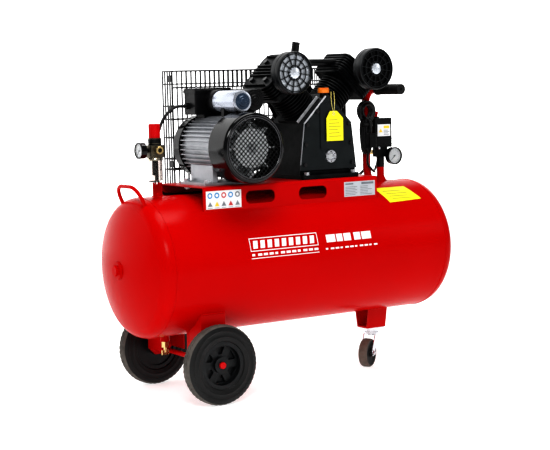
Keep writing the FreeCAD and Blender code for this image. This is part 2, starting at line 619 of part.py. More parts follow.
def crankcase():
    """A cast case with two faces at 45 degrees for the cylinders, a bearing at the back and an oil filler."""
    outer = prism([(x, CASE_Y0, z) for x, z in case_outline(0, DECK_TOP)], (0, CASE_Y1 - CASE_Y0, 0))
    inner_length = CASE_Y1 - CASE_WALL + 1 - CASE_Y0
    inner = prism([(x, CASE_Y0 - 1, z) for x, z in case_outline(CASE_WALL, CASE_FLOOR)], (0, inner_length, 0))
    base_half = CASE_FOOT_HALF + 1
    base = box(
        PUMP_X - base_half, PUMP_X + base_half, CASE_BASE_Y0, CASE_BASE_Y1, DECK_TOP, DECK_TOP + CASE_BASE_T
    )
    bearing = rod(32, (PUMP_X, CASE_Y1 - 8, CRANK_Z), (PUMP_X, CASE_Y1 + 12, CRANK_Z))
    filler = rod(11, (PUMP_X, -66, 770), (PUMP_X, -66, 794))
    case = fused([outer, rounded(base, 10, Z_AXIS), bearing, filler]).cut(inner)
    case = case.cut(rod(JOURNAL_R, (PUMP_X, 0, CRANK_Z), (PUMP_X, 100, CRANK_Z)))
    case = case.cut(rod(8, (PUMP_X, -66, 760), (PUMP_X, -66, 800)))
    for side in (-1, 1):
        case = case.cut(on_pump(rod(36, (0, 0, 40), (0, 0, FLANGE_U)), side))
    return case.cut(Part.makeCompound(deck_bolt_holes()))


def crankcase_cover():
    """The flat front cover with a raised strip down its middle and the front bearing's boss inside."""
    plate = prism([(x, CASE_Y0 - COVER_T, z) for x, z in case_outline(0.6, COVER_LOW)], (0, COVER_T, 0))
    strip = box(PUMP_X - 27, PUMP_X + 27, CASE_Y0 - COVER_T - 2.5, CASE_Y0 - COVER_T, 640, 766)
    boss = rod(24, (PUMP_X, CASE_Y0, CRANK_Z), (PUMP_X, CASE_Y0 + 14, CRANK_Z))
    cover = fused([plate, rounded(strip, 6, Y_AXIS), boss])
    cover = cover.cut(rod(JOURNAL_R, (PUMP_X, CASE_Y0, CRANK_Z), (PUMP_X, CASE_Y0 + 20, CRANK_Z)))
    return cover.cut(rod(11, (PUMP_X + 5, CASE_Y0 - 20, 620), (PUMP_X + 5, CASE_Y0 + 2, 620)))


def sight_glass():
    """The oil level window: a bezel with a clear disc in it."""
    x, z, face = PUMP_X + 5, 620, CASE_Y0 - COVER_T
    bezel = ring(17, 10, (x, face - 6, z), (x, face, z))
    plug = rod(11, (x, face, z), (x, CASE_Y0, z))
    return fused([bezel, plug])


def cylinders():
    """Two finned barrels, each with a square flange at both ends."""
    parts = [
        box(-44, 52, -47, 47, FLANGE_U, BARREL_U0), rod(BARREL_R, (0, 0, BARREL_U0), (0, 0, BARREL_U1)),
        box(-58, 58, -58, 58, BARREL_U1 - 8, BARREL_U1),
    ]
    for k in range(8):
        low = BARREL_U0 + 5 + 9 * k
        parts.append(rod(FIN_R, (0, 0, low), (0, 0, low + 3.5)))
    right = fused(parts).cut(rod(BORE_R, (0, 0, FLANGE_U - 1), (0, 0, BARREL_U1 + 1)))
    return Part.makeCompound([on_pump(turned(right, 180), -1), on_pump(right, 1)])


def valve_plates():
    plate = rounded(box(-62, 62, -62, 62, VALVE_U, HEAD_U), 16, Z_AXIS)
    ports = [rod(6, (x, 0, VALVE_U - 1), (x, 0, HEAD_U + 1)) for x in (-14, 14)]
    plate = plate.cut(Part.makeCompound(ports))
    return Part.makeCompound([on_pump(plate, side) for side in (-1, 1)])


def head_blank():
    """A head drawn upright: a core with rounded fins round it and a ribbed top."""
    core = box(-HEAD_CORE_HALF, HEAD_CORE_HALF, -HEAD_CORE_HALF, HEAD_CORE_HALF, HEAD_U, HEAD_TOP_U)
    fins = []
    for k in range(6):
        low = HEAD_U + 8.8 * k
        fin = box(-HEAD_HALF, HEAD_HALF, -HEAD_HALF, HEAD_HALF, low, low + 4)
        fins.append(rounded(fin, HEAD_CORNER_R, Z_AXIS))
    return fused([rounded(core, HEAD_CORNER_R - HEAD_HALF + HEAD_CORE_HALF, Z_AXIS)] + fins)


def head(side):
    chamber = box(-40, 40, -40, 40, HEAD_U - 1, HEAD_TOP_U - 12)
    return on_pump(head_blank().cut(chamber), side)


def cylinder_heads():
    return Part.makeCompound([head(-1), head(1)])


def off_heads(shape):
    return shape.cut(on_pump(head_blank(), -1)).cut(on_pump(head_blank(), 1))


def air_filters():
    """Two round intake filters: a can with a slotted face, on a short neck into its head."""
    filters = []
    for x, face_y, z, neck_r in FILTERS:
        back_y = face_y + FILTER_DEPTH
        can = rod(FILTER_R, (x, face_y, z), (x, back_y, z))
        can = can.cut(rod(FILTER_R - 4, (x, face_y - 1, z), (x, back_y - 4, z)))
        vane = box(8, FILTER_R - 3, face_y + 2, face_y + 6, -1, 1)
        vanes = [moved(turned(vane, k * 30, Y_AXIS), x, 0, z) for k in range(12)]
        hubs = [
            rod(12, (x, face_y + 2, z), (x, back_y - 3, z)),
            ring(36, 34, (x, face_y + 2, z), (x, face_y + 6, z)),
        ]
        neck = rod(neck_r, (x, back_y - 1, z), (x, -45, z))
        filters.append(off_heads(fused([can, neck] + hubs + vanes)))
    return Part.makeCompound(filters)


def crossover_pipe():
    """The level pipe between the heads, with the breather that stands on it."""
    z, y = 878.0, -2.0
    breather = ring(11, 8.5, (53, y, z), (58, y - 8, 935))
    return off_heads(fused([rod(10, (0, y, z), (210, y, z)), breather]))


def delivery_pipe():
    """The pipe from the right head down to the check valve."""
    x, y = CHECK_VALVE
    z = 852.0
    return off_heads(tube_along([(240, 60, z), (240, y, z), (x, y, z), (x, y, CHECK_VALVE_TOP)], 7, 5.5, 20))


def regulator_feed():
    """The pipe from the tank's riser into the back of the regulator."""
    x, y = REG_RISER
    port_x = REG_X + 10
    points = [
        (x, y, REG_RISER_TOP), (x, y, 622), (port_x, y, REG_PORT_Z), (port_x, REG_Y + REG_HALF_Y, REG_PORT_Z),
    ]
    return tube_along(points, 6, 4.5, 14)


def air_pipes():
    return Part.makeCompound([crossover_pipe(), delivery_pipe(), regulator_feed()])


def crankpin_z():
    return CRANK_Z + THROW


def crankshaft():
    """Journals, two webs with counterweights, the crankpin at its top, and the nose for the flywheel."""
    web_profile = [(-18, 24), (18, 24), (34, -40), (-34, -40)]
    shaft = [
        rod(JOURNAL_R, (PUMP_X, CASE_Y0 + 0.5, CRANK_Z), (PUMP_X, -36, CRANK_Z)),
        rod(JOURNAL_R, (PUMP_X, 36, CRANK_Z), (PUMP_X, 164, CRANK_Z)),
        rod(CRANKPIN_R, (PUMP_X, -36, crankpin_z()), (PUMP_X, 36, crankpin_z())),
    ]
    for y in (-37, 25):
        shaft.append(prism([(PUMP_X + x, y, CRANK_Z + z + 10) for x, z in web_profile], (0, 12, 0)))
    return fused(shaft)


def piston_and_rod(side):
    """A hollow piston joined to its rod, whose big end goes round the crankpin."""
    lateral = THROW * math.sin(math.radians(45))
    wrist_u = lateral + math.sqrt(ROD_LENGTH**2 - lateral**2)
    piston_r = BORE_R - RUNNING_GAP
    crown = rod(piston_r, (0, 0, wrist_u - 14), (0, 0, wrist_u + 28))
    crown = crown.cut(rod(27, (0, 0, wrist_u - 20), (0, 0, wrist_u + 21)))
    wrist_pin = rod(7, (0, -30, wrist_u), (0, 30, wrist_u))
    small_end = rod(11, (0, -9, wrist_u), (0, 9, wrist_u))
    pin = (-side * lateral, 0, lateral)
    shank = rod(7, pin, (0, 0, wrist_u))
    big_end = rod(19, (pin[0], -9, pin[2]), (pin[0], 9, pin[2]))
    bore = rod(CRANKPIN_R, (pin[0], -20, pin[2]), (pin[0], 20, pin[2]))
    return on_pump(fused([crown, wrist_pin, small_end, shank, big_end]).cut(bore), side)


def pistons():
    return Part.makeCompound([piston_and_rod(-1), piston_and_rod(1)])


def oil_cap():
    """The filler's cap with a finger bar across it."""
    y, low = -66, 794.3
    disc = rod(16, (PUMP_X, y, low), (PUMP_X, y, low + 9))
    finger_bar = box(PUMP_X - 15, PUMP_X + 15, y - 4, y + 4, low + 9, low + 13.7)
    thread = rod(7.9, (PUMP_X, y, low - 12), (PUMP_X, y, low))
    return fused([disc, finger_bar, thread])


def oil_tag():
    """A card tag with a pointed top, hung by a string from the oil cap."""
    y = CASE_Y0 - COVER_T - 7.5
    outline = [(97, 662), (153, 662), (153, 724), (133, 744), (109, 744), (97, 724)]
    card = prism([(x, y, z) for x, z in outline], (0, 1.2, 0))
    card = card.cut(rod(3, (121, y - 1, 736), (121, y + 3, 736)))
    knot = ring(4, 2.6, (121, y, 741.5), (121, y + 1.2, 741.5))
    string = rod(0.8, (121, y + 0.6, 744), (124, -86.5, 797))
    return fused([card, knot, string])


# ---- belt drive and guard ----


def pump_ring(outer_r, inner_r, y0, y1):
    return ring(outer_r, inner_r, (PUMP_X, y0, CRANK_Z), (PUMP_X, y1, CRANK_Z))


def flywheel():
    """A cast wheel with one belt groove and spokes set as fan blades."""
    rim_part = pump_ring(FLYWHEEL_R, FLYWHEEL_RIM_R, FLYWHEEL_Y0, FLYWHEEL_Y1)
    bore_r = JOURNAL_R + RUNNING_GAP
    hub = pump_ring(FLYWHEEL_HUB_R, bore_r, FLYWHEEL_Y0 - 2, FLYWHEEL_Y1 + 2)
    spokes = []
    for k in range(FLYWHEEL_SPOKES):
        spoke = turned(box(FLYWHEEL_HUB_R - 3, FLYWHEEL_RIM_R + 3, -5, 5, -15, 15), 35, X_AXIS)
        spoke = turned(spoke, k * 360 / FLYWHEEL_SPOKES, Y_AXIS)
        spokes.append(moved(spoke, PUMP_X, BELT_Y, CRANK_Z))
    wheel = fused([rim_part, hub] + spokes)
    groove_y0, groove_y1 = BELT_Y - GROOVE_W / 2, BELT_Y + GROOVE_W / 2
    return wheel.cut(pump_ring(FLYWHEEL_R + 1, FLYWHEEL_R - GROOVE_DEPTH, groove_y0, groove_y1))


def motor_pulley():
    half, groove = PULLEY_W / 2, GROOVE_W / 2
    wheel = motor_ring(PULLEY_R, SHAFT_R, BELT_Y - half, BELT_Y + half)
    return wheel.cut(motor_ring(PULLEY_R + 1, PULLEY_R - GROOVE_DEPTH, BELT_Y - groove, BELT_Y + groove))


def belt_loop(inset):
    """The solid inside a belt's path round both wheels, inset from their rims."""
    y0, y1 = BELT_Y - BELT_W / 2, BELT_Y + BELT_W / 2
    big, small = FLYWHEEL_R - inset, PULLEY_R - inset
    dx, dz = MOTOR_X - PUMP_X, MOTOR_Z - CRANK_Z
    span = math.hypot(dx, dz)
    line, lean = math.atan2(dz, dx), math.acos((big - small) / span)

    def rim_point(x, z, radius, turn):
        return (x + radius * math.cos(turn), y0, z + radius * math.sin(turn))

    corners = [
        rim_point(PUMP_X, CRANK_Z, big, line + lean), rim_point(MOTOR_X, MOTOR_Z, small, line + lean),
        rim_point(MOTOR_X, MOTOR_Z, small, line - lean), rim_point(PUMP_X, CRANK_Z, big, line - lean),
    ]
    discs = [rod(big, (PUMP_X, y0, CRANK_Z), (PUMP_X, y1, CRANK_Z)), motor_rod(small, y0, y1)]
    return fused(discs + [prism(corners, (0, y1 - y0, 0))])


def v_belt():
    return belt_loop(BELT_SUNK).cut(belt_loop(BELT_SUNK + BELT_DEPTH))


def steps(low, high, pitch):
    """Evenly spaced places from one end to the other, about a pitch apart."""
    count = round((high - low) / pitch)
    return [low + (high - low) * k / count for k in range(count + 1)]


def upright_panel(x0, x1, z0, z1, y, rails):
    """Upright wires and level rails in a plane of constant Y, welded into one panel."""
    wires = [box(x, x + WIRE, y, y + WIRE, z0, z1) for x in steps(x0, x1 - WIRE, WIRE_PITCH)]
    wires += [box(x0, x1, y, y + WIRE, z, z + WIRE) for z in rails]
    return fused(wires)


def guard_front():
    """The machine-side half: a border of wires all round, open in the middle for the shafts."""
    y, edge = GUARD_Y0, GUARD_BORDER
    level = [GUARD_Z0] + list(GUARD_RAILS) + [GUARD_Z1 - WIRE]
    inner_z0, inner_z1 = GUARD_Z0 + edge, GUARD_Z1 - edge
    side_rails = [z for z in level if inner_z0 <= z <= inner_z1 - WIRE]
    panels = [
        upright_panel(GUARD_X0, GUARD_X1, GUARD_Z0, inner_z0, y, [GUARD_Z0, inner_z0 - WIRE]),
        upright_panel(GUARD_X0, GUARD_X1, inner_z1, GUARD_Z1, y, [inner_z1, GUARD_Z1 - WIRE]),
        upright_panel(GUARD_X0, GUARD_X0 + edge + WIRE, inner_z0, inner_z1, y, side_rails),
        upright_panel(GUARD_X1 - edge - WIRE, GUARD_X1, inner_z0, inner_z1, y, side_rails),
    ]
    return Part.makeCompound(panels)


def guard_rear():
    """The outer half: a full grid of wires, with the strips that join it to the front half."""
    rails = [GUARD_Z0] + list(GUARD_RAILS) + [GUARD_Z1 - WIRE]
    back = upright_panel(GUARD_X0, GUARD_X1, GUARD_Z0, GUARD_Z1, GUARD_Y1 - WIRE, rails)
    return Part.makeCompound([back] + guard_strips())


def guard_strips():
    """The guard's two sides, bottom and top."""
    y0, y1 = GUARD_Y0 + WIRE, GUARD_Y1 - WIRE
    z0, z1 = GUARD_Z0 + WIRE, GUARD_Z1 - WIRE
    panels = []
    for x in (GUARD_X0, GUARD_X1 - WIRE):
        wires = [box(x, x + WIRE, y0, y1, z, z + WIRE) for z in [z0] + list(GUARD_RAILS)]
        wires += [box(x, x + WIRE, y, y + WIRE, z0, z1) for y in steps(y0, y1 - WIRE, 12)]
        panels.append(fused(wires))
    for z in (GUARD_Z0, z1):
        places = steps(GUARD_X0, GUARD_X1 - WIRE, WIRE_PITCH * 2)
        wires = [box(x, x + WIRE, y0, y1, z, z + WIRE) for x in places]
        wires += [box(GUARD_X0, GUARD_X1, y, y + WIRE, z, z + WIRE) for y in steps(y0, y1 - WIRE, 24)]
        panels.append(fused(wires))
    return panels


# ---- switch, gauges, valves and regulator ----


def switch_manifold():
    """The cross under the switch, with ports for the riser, the gauge and the safety valve."""
    x, y = SWITCH_RISER
    gauge_x, _, gauge_z = TANK_GAUGE
    block = fused([
        box(x - 16, x + 16, y - 14, y + 14, SWITCH_RISER_TOP, SWITCH_Z0),
        rod(9, (x, y, gauge_z + 8), (gauge_x + 9, y, gauge_z + 8)),
        rod(9, (gauge_x, y - 9, gauge_z + 6), (gauge_x, y + 9, gauge_z + 6)),
    ])
    return block.cut(rod(SOCKET_BORE_R, (x, y, SWITCH_RISER_TOP), (x, y, SWITCH_Z0 - 6)))


def button_rod(radius, z0, z1):
    return rod(radius, (BUTTON_X, BUTTON_Y, z0), (BUTTON_X, BUTTON_Y, z1))


def switch_cover():
    """The switch's box, hollow, with a collar for its button."""
    outer = box(SWITCH_X0, SWITCH_X1, SWITCH_Y0, SWITCH_Y1, SWITCH_Z0, SWITCH_Z1)
    wall = SWITCH_WALL
    x0, x1, y0, y1 = SWITCH_X0 + wall, SWITCH_X1 - wall, SWITCH_Y0 + wall, SWITCH_Y1 - wall
    inner = box(x0, x1, y0, y1, SWITCH_Z0 + wall, SWITCH_Z1 - wall)
    collar = button_rod(BUTTON_R + 3, SWITCH_Z1 - wall, SWITCH_Z1 + 4)
    shell = rounded(outer, 5, Z_AXIS).cut(inner)
    return fused([shell, collar]).cut(button_rod(BUTTON_R + 0.4, SWITCH_Z1 - 10, BUTTON_TOP + 5))


def switch_button():
    """The knob that is pulled up to start the motor and pushed down to stop it."""
    stem = button_rod(BUTTON_R - 2, SWITCH_Z1 - 16, BUTTON_TOP - 8)
    flare = Part.makeCone(BUTTON_R - 2, BUTTON_R, 4, V(BUTTON_X, BUTTON_Y, BUTTON_TOP - 10))
    return fused([stem, flare, button_rod(BUTTON_R, BUTTON_TOP - 6, BUTTON_TOP)])


def gauge_case(radius):
    """A gauge's case at the origin facing -Y, with a recess for its dial."""
    return rod(radius, (0, 0, 0), (0, GAUGE_DEPTH, 0)).cut(rod(radius - 2.5, (0, -1, 0), (0, 5, 0)))


def gauges():
    x, y, z = TANK_GAUGE
    tank = moved(gauge_case(TANK_GAUGE_R), x, y, z)
    tank = fused([tank, rod(6, (x, y + GAUGE_DEPTH, z), (x, SWITCH_RISER[1] - 9, z))])
    outlet = turned(gauge_case(OUTLET_GAUGE_R), -90)
    outlet = fused([outlet, rod(6, (GAUGE_DEPTH, 0, 0), (REG_X - REG_HALF_X - OUTLET_GAUGE_X, 0, 0))])
    return Part.makeCompound([tank, moved(outlet, OUTLET_GAUGE_X, REG_Y, REG_PORT_Z)])


def needle(radius):
    """A pointer at the origin facing -Y and pointing at the dial's low end."""
    hub = rod(2.5, (0, 2.6, 0), (0, 4.6, 0))
    tip = -radius * 0.68
    blade = prism([(-1.2, 3, 4), (1.2, 3, 4), (0.5, 3, tip), (-0.5, 3, tip)], (0, 0.8, 0))
    return turned(fused([hub, blade]), 45, Y_AXIS)


def tank_needle():
    return moved(needle(TANK_GAUGE_R), *TANK_GAUGE)


def outlet_needle():
    return moved(turned(needle(OUTLET_GAUGE_R), -90), OUTLET_GAUGE_X, REG_Y, REG_PORT_Z)


def safety_rod(radius, y0, y1):
    return rod(radius, (SAFETY_X, y0, SAFETY_Z), (SAFETY_X, y1, SAFETY_Z))


def brass_valves():
    """The check valve, the drain valve's body and the safety valve's body."""
    x, y = CHECK_VALVE
    check = fused([
        rod(SOCKET_BORE_R, (x, y, 512), (x, y, 518)), hex_bar(24, (x, y, 518), (x, y, 536)),
        rod(10, (x, y, 536), (x, y, 548)), hex_bar(19, (x, y, 548), (x, y, CHECK_VALVE_TOP)),
    ])
    drain = fused([
        rod(SOCKET_BORE_R, (DRAIN_X, 0, 150), (DRAIN_X, 0, 160)),
        hex_bar(18, (DRAIN_X, 0, 134), (DRAIN_X, 0, 150)),
    ])
    drain = drain.cut(rod(4 + RUNNING_GAP, (DRAIN_X, 0, 130), (DRAIN_X, 0, 146)))
    safety = fused([
        hex_bar(17, (SAFETY_X, SAFETY_Y, SAFETY_Z), (SAFETY_X, SAFETY_Y + 12, SAFETY_Z)),
        safety_rod(7, SAFETY_Y + 12, SAFETY_Y + 30),
    ])
    safety = safety.cut(safety_rod(2 + RUNNING_GAP, SAFETY_Y + 14, SAFETY_Y + 31))
    return Part.makeCompound([check, drain, safety])


def safety_ring():
    """The pull ring of the safety valve on its stem."""
    loop = turned(turned(Part.makeTorus(9, 1.3), 90, X_AXIS), 90)
    loop = moved(loop, SAFETY_X, SAFETY_Y + 44, SAFETY_Z)
    return fused([loop, safety_rod(2, SAFETY_Y + 18, SAFETY_Y + 36)])


def drain_screw():
    """The wing screw of the drain."""
    wing = rounded(box(DRAIN_X - 11, DRAIN_X + 11, -2.5, 2.5, 114, 126), 2, Z_AXIS)
    return fused([wing, rod(4, (DRAIN_X, 0, 120), (DRAIN_X, 0, 144))])


def regulator_rod(radius, z0, z1):
    return rod(radius, (REG_X, REG_Y, z0), (REG_X, REG_Y, z1))


def regulator_body():
    """The regulator's block, outlet port, bonnet and filter element."""
    port_y = REG_Y - REG_HALF_Y
    block = box(REG_X - REG_HALF_X, REG_X + REG_HALF_X, port_y, REG_Y + REG_HALF_Y, REG_Z0, REG_Z1)
    block = rounded(block, 5, Z_AXIS)
    port = rod(10, (REG_X, OUTLET_FACE_Y, REG_PORT_Z), (REG_X, port_y + 1, REG_PORT_Z))
    bonnet = [regulator_rod(17, REG_Z1, 690), regulator_rod(SPIGOT_R, 690, 712)]
    body = fused([block, port, regulator_rod(8, 596, REG_Z0)] + bonnet)
    thread_end = (REG_X, OUTLET_FACE_Y + OUTLET_LENGTH, REG_PORT_Z)
    return body.cut(rod(OUTLET_R, (REG_X, OUTLET_FACE_Y, REG_PORT_Z), thread_end))


def regulator_knob():
    """A ribbed knob that turns on the bonnet's spigot."""
    knob = regulator_rod(KNOB_R - 1, KNOB_Z0, KNOB_Z1)
    ribs = []
    for k in range(18):
        rib = turned(box(KNOB_R - 2, KNOB_R, -1, 1, KNOB_Z0, KNOB_Z1 - 2), k * 20)
        ribs.append(moved(rib, REG_X, REG_Y, 0))
    return fused([knob] + ribs).cut(regulator_rod(SPIGOT_R + RUNNING_GAP, 690, 713))


def regulator_bowl():
    """The clear water bowl with its collar and drain nub."""
    bowl = regulator_rod(BOWL_R, BOWL_Z0, REG_Z0).cut(regulator_rod(BOWL_R - BOWL_WALL, BOWL_Z0 + 3, REG_Z0))
    collar = ring(BOWL_R + 1, BOWL_R - 1, (REG_X, REG_Y, REG_Z0 - 7), (REG_X, REG_Y, REG_Z0))
    return fused([bowl, collar, regulator_rod(4, BOWL_Z0 - 6, BOWL_Z0 + 1)])


# ---- fasteners and cords ----


def bolt(x, y, seat_z, shank_low, head_af):
    """A bolt from above with its washer, and its nut under the deck."""
    nut_top = DECK_TOP - DECK_T
    return fused([
        rod(head_af * 0.62, (x, y, seat_z), (x, y, seat_z + 2)),
        hex_bar(head_af, (x, y, seat_z + 2), (x, y, seat_z + 8)),
        rod(5, (x, y, shank_low), (x, y, seat_z)),
        hex_bar(head_af, (x, y, nut_top - 8), (x, y, nut_top)),
    ])


def cover_screws():
    """Cap screws round the pump's front cover."""
    face = CASE_Y0 - COVER_T
    places = [(-80, 600), (80, 600), (-76, 655), (76, 655), (-70, 708), (70, 708), (-36, 744), (36, 744)]
    return [hex_bar(10, (PUMP_X + x, face, z), (PUMP_X + x, face - 5, z)) for x, z in places]


def head_nuts():
    """Nuts at the corners of each cylinder head."""
    nuts = []
    for side in (-1, 1):
        for x in (-34, 34):
            for y in (-34, 34):
                nuts.append(on_pump(hex_bar(13, (x, y, HEAD_TOP_U), (x, y, HEAD_TOP_U + 7)), side))
    return nuts


def hex_bolts():
    low = DECK_TOP - DECK_T - 11
    solids = [bolt(x, y, DECK_TOP + FOOT_T, low, 17) for x, y in MOTOR_BOLTS]
    solids += [bolt(x, y, DECK_TOP + CASE_BASE_T, low, 13) for x, y in PUMP_BOLTS]
    return Part.makeCompound(solids + cover_screws() + head_nuts())


def cable_glands():
    """The glands in the terminal box and under the switch."""
    x0, box_y, box_z = MOTOR_LEAD[0]
    lead_x, lead_y, low = MOTOR_LEAD[-1]
    mains_x, mains_y, _ = MAINS_LEAD[0]
    glands = [
        hex_bar(15, (x0, box_y, box_z), (TERMINAL_BOX[0], box_y, box_z)),
        hex_bar(15, (lead_x, lead_y, low), (lead_x, lead_y, SWITCH_Z0)),
        hex_bar(15, (mains_x, mains_y, low), (mains_x, mains_y, SWITCH_Z0)),
    ]
    return Part.makeCompound(glands)


def motor_lead():
    return tube_along(MOTOR_LEAD, MOTOR_LEAD_R)


def mains_hank():
    """The outline of the hung mains lead: a ring of turns above and a bundle below."""
    y0, y1 = HANK_Y - HANK_HALF_Y, HANK_Y + HANK_HALF_Y
    ring_part = ring(HANK_RING_R, HANK_HOLE_R, (HANK_X, y0, HANK_RING_Z), (HANK_X, y1, HANK_RING_Z))
    bundle = box(HANK_X - HANK_HALF_X, HANK_X + HANK_HALF_X, y0, y1, HANK_LOW, HANK_RING_Z - HANK_RING_R + 6)
    return fused([ring_part, bundle]).cut(rod(PUSH_R + 0.4, (PUSH_X, PUSH_Y, 590), (PUSH_X, PUSH_Y, 790)))


def mains_lead():
    return tube_along(MAINS_LEAD, MAINS_R)


def mains_plug():
    """A moulded two-pin plug that hangs beside the bundle."""
    x, y, z = HANK_X - 3, HANK_Y - HANK_HALF_Y, 655
    body = box(x - 13, x + 13, y - 24, y, z - 20, z + 20)
    pins = [rod(2.4, (x + dx, y - 12, z - 39), (x + dx, y - 12, z - 20)) for dx in (-9.5, 9.5)]
    return fused([rounded(body, 6, Z_AXIS)] + pins)


NODES = {
    "tank_shell": tank_shell, "tank_domes": tank_domes, "tank_sockets": tank_sockets,
    "deck_plate": deck_plate, "wheel_brackets": wheel_brackets, "axle_bar": axle_bar, "axle_caps": axle_caps,
    "front_tyre": lambda: tyre(-1), "front_rim": lambda: rim(-1),
    "rear_tyre": lambda: tyre(1), "rear_rim": lambda: rim(1),
    "caster_plate": caster_plate, "caster_fork": caster_fork, "caster_wheel": caster_wheel,
    "carry_handle": carry_handle, "push_handle": push_handle, "handle_grip": handle_grip,
    "motor_housing": motor_housing, "motor_end_bell": motor_end_bell, "fan_cover": fan_cover,
    "motor_stator": motor_stator, "motor_rotor": motor_rotor, "motor_fan": motor_fan,
    "motor_pulley": motor_pulley, "terminal_box": terminal_box, "capacitors": capacitors,
    "hex_bolts": hex_bolts,
    "crankcase": crankcase, "crankcase_cover": crankcase_cover, "sight_glass": sight_glass,
    "cylinders": cylinders, "valve_plates": valve_plates, "cylinder_heads": cylinder_heads,
    "air_filters": air_filters, "air_pipes": air_pipes, "pistons": pistons, "crankshaft": crankshaft,
    "oil_cap": oil_cap, "oil_tag": oil_tag, "flywheel": flywheel, "v_belt": v_belt,
    "guard_front": guard_front, "guard_rear": guard_rear,
    "switch_manifold": switch_manifold, "switch_cover": switch_cover, "switch_button": switch_button,
    "gauges": gauges, "tank_needle": tank_needle, "outlet_needle": outlet_needle,
    "brass_valves": brass_valves, "safety_ring": safety_ring, "drain_screw": drain_screw,
    "regulator_body": regulator_body, "regulator_knob": regulator_knob, "regulator_bowl": regulator_bowl,
    "cable_glands": cable_glands, "motor_lead": motor_lead,
    "mains_lead": mains_lead, "mains_hank": mains_hank, "mains_plug": mains_plug,
}


def main():
    os.makedirs("parts", exist_ok=True)
    for node, make in NODES.items():
        moved(make(), CENTRING, 0, 0).exportStep(f"parts/{node}.step")
    for name, points in (("motor lead", MOTOR_LEAD), ("mains lead", MAINS_LEAD)):
        wire, radii = route_wire(points)
        print(name, "length", round(wire.Length), "radii", [round(r) for r in radii])


main()
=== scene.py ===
"""The looks of the wheeled air compressor: materials, camera, studio, cord and the finer pieces.

Metres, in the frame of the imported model: +X towards the caster, -Y towards the operator, +Z up.
"""

import bpy
import json
import math
from mathutils import Matrix, Vector


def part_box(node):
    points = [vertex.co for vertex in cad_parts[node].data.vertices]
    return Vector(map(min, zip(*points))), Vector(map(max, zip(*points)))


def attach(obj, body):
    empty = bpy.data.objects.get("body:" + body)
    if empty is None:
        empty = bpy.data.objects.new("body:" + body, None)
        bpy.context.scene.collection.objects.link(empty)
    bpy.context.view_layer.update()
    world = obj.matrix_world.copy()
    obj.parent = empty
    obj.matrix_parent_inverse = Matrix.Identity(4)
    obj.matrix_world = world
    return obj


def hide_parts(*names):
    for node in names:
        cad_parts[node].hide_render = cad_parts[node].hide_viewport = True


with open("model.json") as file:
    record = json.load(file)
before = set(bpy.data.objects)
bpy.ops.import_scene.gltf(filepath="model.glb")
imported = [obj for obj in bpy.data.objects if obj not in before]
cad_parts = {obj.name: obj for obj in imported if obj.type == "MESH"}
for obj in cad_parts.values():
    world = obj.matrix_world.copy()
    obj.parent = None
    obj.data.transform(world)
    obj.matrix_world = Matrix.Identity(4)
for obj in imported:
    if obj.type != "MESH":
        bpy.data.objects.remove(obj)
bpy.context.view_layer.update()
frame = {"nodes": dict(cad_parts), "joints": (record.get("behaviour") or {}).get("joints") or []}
NODES = frame["nodes"]
MM = 0.001


# ---- places, from the frame ----


def middle(node):
    low, high = (Vector(c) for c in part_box(node))
    return (low + high) / 2


def corner(node):
    """A node's low and high corners."""
    low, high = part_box(node)
    return Vector(low), Vector(high)


def middle_of_face(node):
    """The middle of a node's side that faces the operator."""
    centre = middle(node)
    centre.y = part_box(node)[0][1]
    return centre


TANK_LOW, TANK_HIGH = corner("tank_shell")
TANK_MID = (TANK_LOW + TANK_HIGH) / 2
TANK_R = (TANK_HIGH.z - TANK_LOW.z) / 2


# ---- mesh helpers: each returns (vertices, faces) ----


def frame_along(direction):
    """Two unit vectors square to a direction."""
    direction = Vector(direction).normalized()
    helper = Vector((0, 0, 1)) if abs(direction.z) < 0.9 else Vector((1, 0, 0))
    side = direction.cross(helper).normalized()
    return side, direction.cross(side).normalized()


def turns(count):
    """Evenly spaced angles of one full turn."""
    return [2 * math.pi * k / count for k in range(count)]


def skin(rows, wrap=True, cap=False):
    """Faces between rows of points; wrap closes each row and cap closes the first and last rows."""
    count = len(rows[0])
    points = [Vector(p) for row in rows for p in row]
    faces = []
    for i in range(len(rows) - 1):
        for j in range(count if wrap else count - 1):
            k = (j + 1) % count
            faces.append((i * count + j, i * count + k, (i + 1) * count + k, (i + 1) * count + j))
    if cap:
        faces.append(tuple(reversed(range(count))))
        faces.append(tuple(range((len(rows) - 1) * count, len(rows) * count)))
    return points, faces


def lathe(profile, origin, axis, sides=48, closed=False):
    """Turns (radius, height) pairs about an axis. A closed profile makes a ring."""
    origin, axis = Vector(origin), Vector(axis).normalized()
    side, up = frame_along(axis)
    if closed:
        profile = list(profile) + [profile[0]]
    rows = []
    for radius, height in profile:
        centre = origin + axis * height
        rows.append([centre + (side * math.cos(t) + up * math.sin(t)) * radius for t in turns(sides)])
    return skin(rows, cap=not closed)


def lathe_mm(profile, origin, axis, sides=48, closed=False):
    """The same with a profile in millimetres."""
    return lathe([(radius * MM, height * MM) for radius, height in profile], origin, axis, sides, closed)


def tube(points, radius, sides=10, loop=False):
    """A round wire along a line of points, with capped ends unless it is a loop."""
    points = [Vector(p) for p in points]
    count = len(points)
    rows = []
    side = None
    for i, point in enumerate(points):
        if loop:
            along = points[(i + 1) % count] - points[i - 1]
        else:
            along = points[min(i + 1, count - 1)] - points[max(i - 1, 0)]
        along.normalize()
        if side is None:
            side, _ = frame_along(along)
        side = (side - along * side.dot(along)).normalized()
        up = along.cross(side)
        rows.append([point + (side * math.cos(t) + up * math.sin(t)) * radius for t in turns(sides)])
    if loop:
        rows.append(rows[0])
        return skin(rows)
    return skin(rows, cap=True)


def circle(centre, axis, radius, count=48):
    side, up = frame_along(axis)
    return [Vector(centre) + (side * math.cos(t) + up * math.sin(t)) * radius for t in turns(count)]


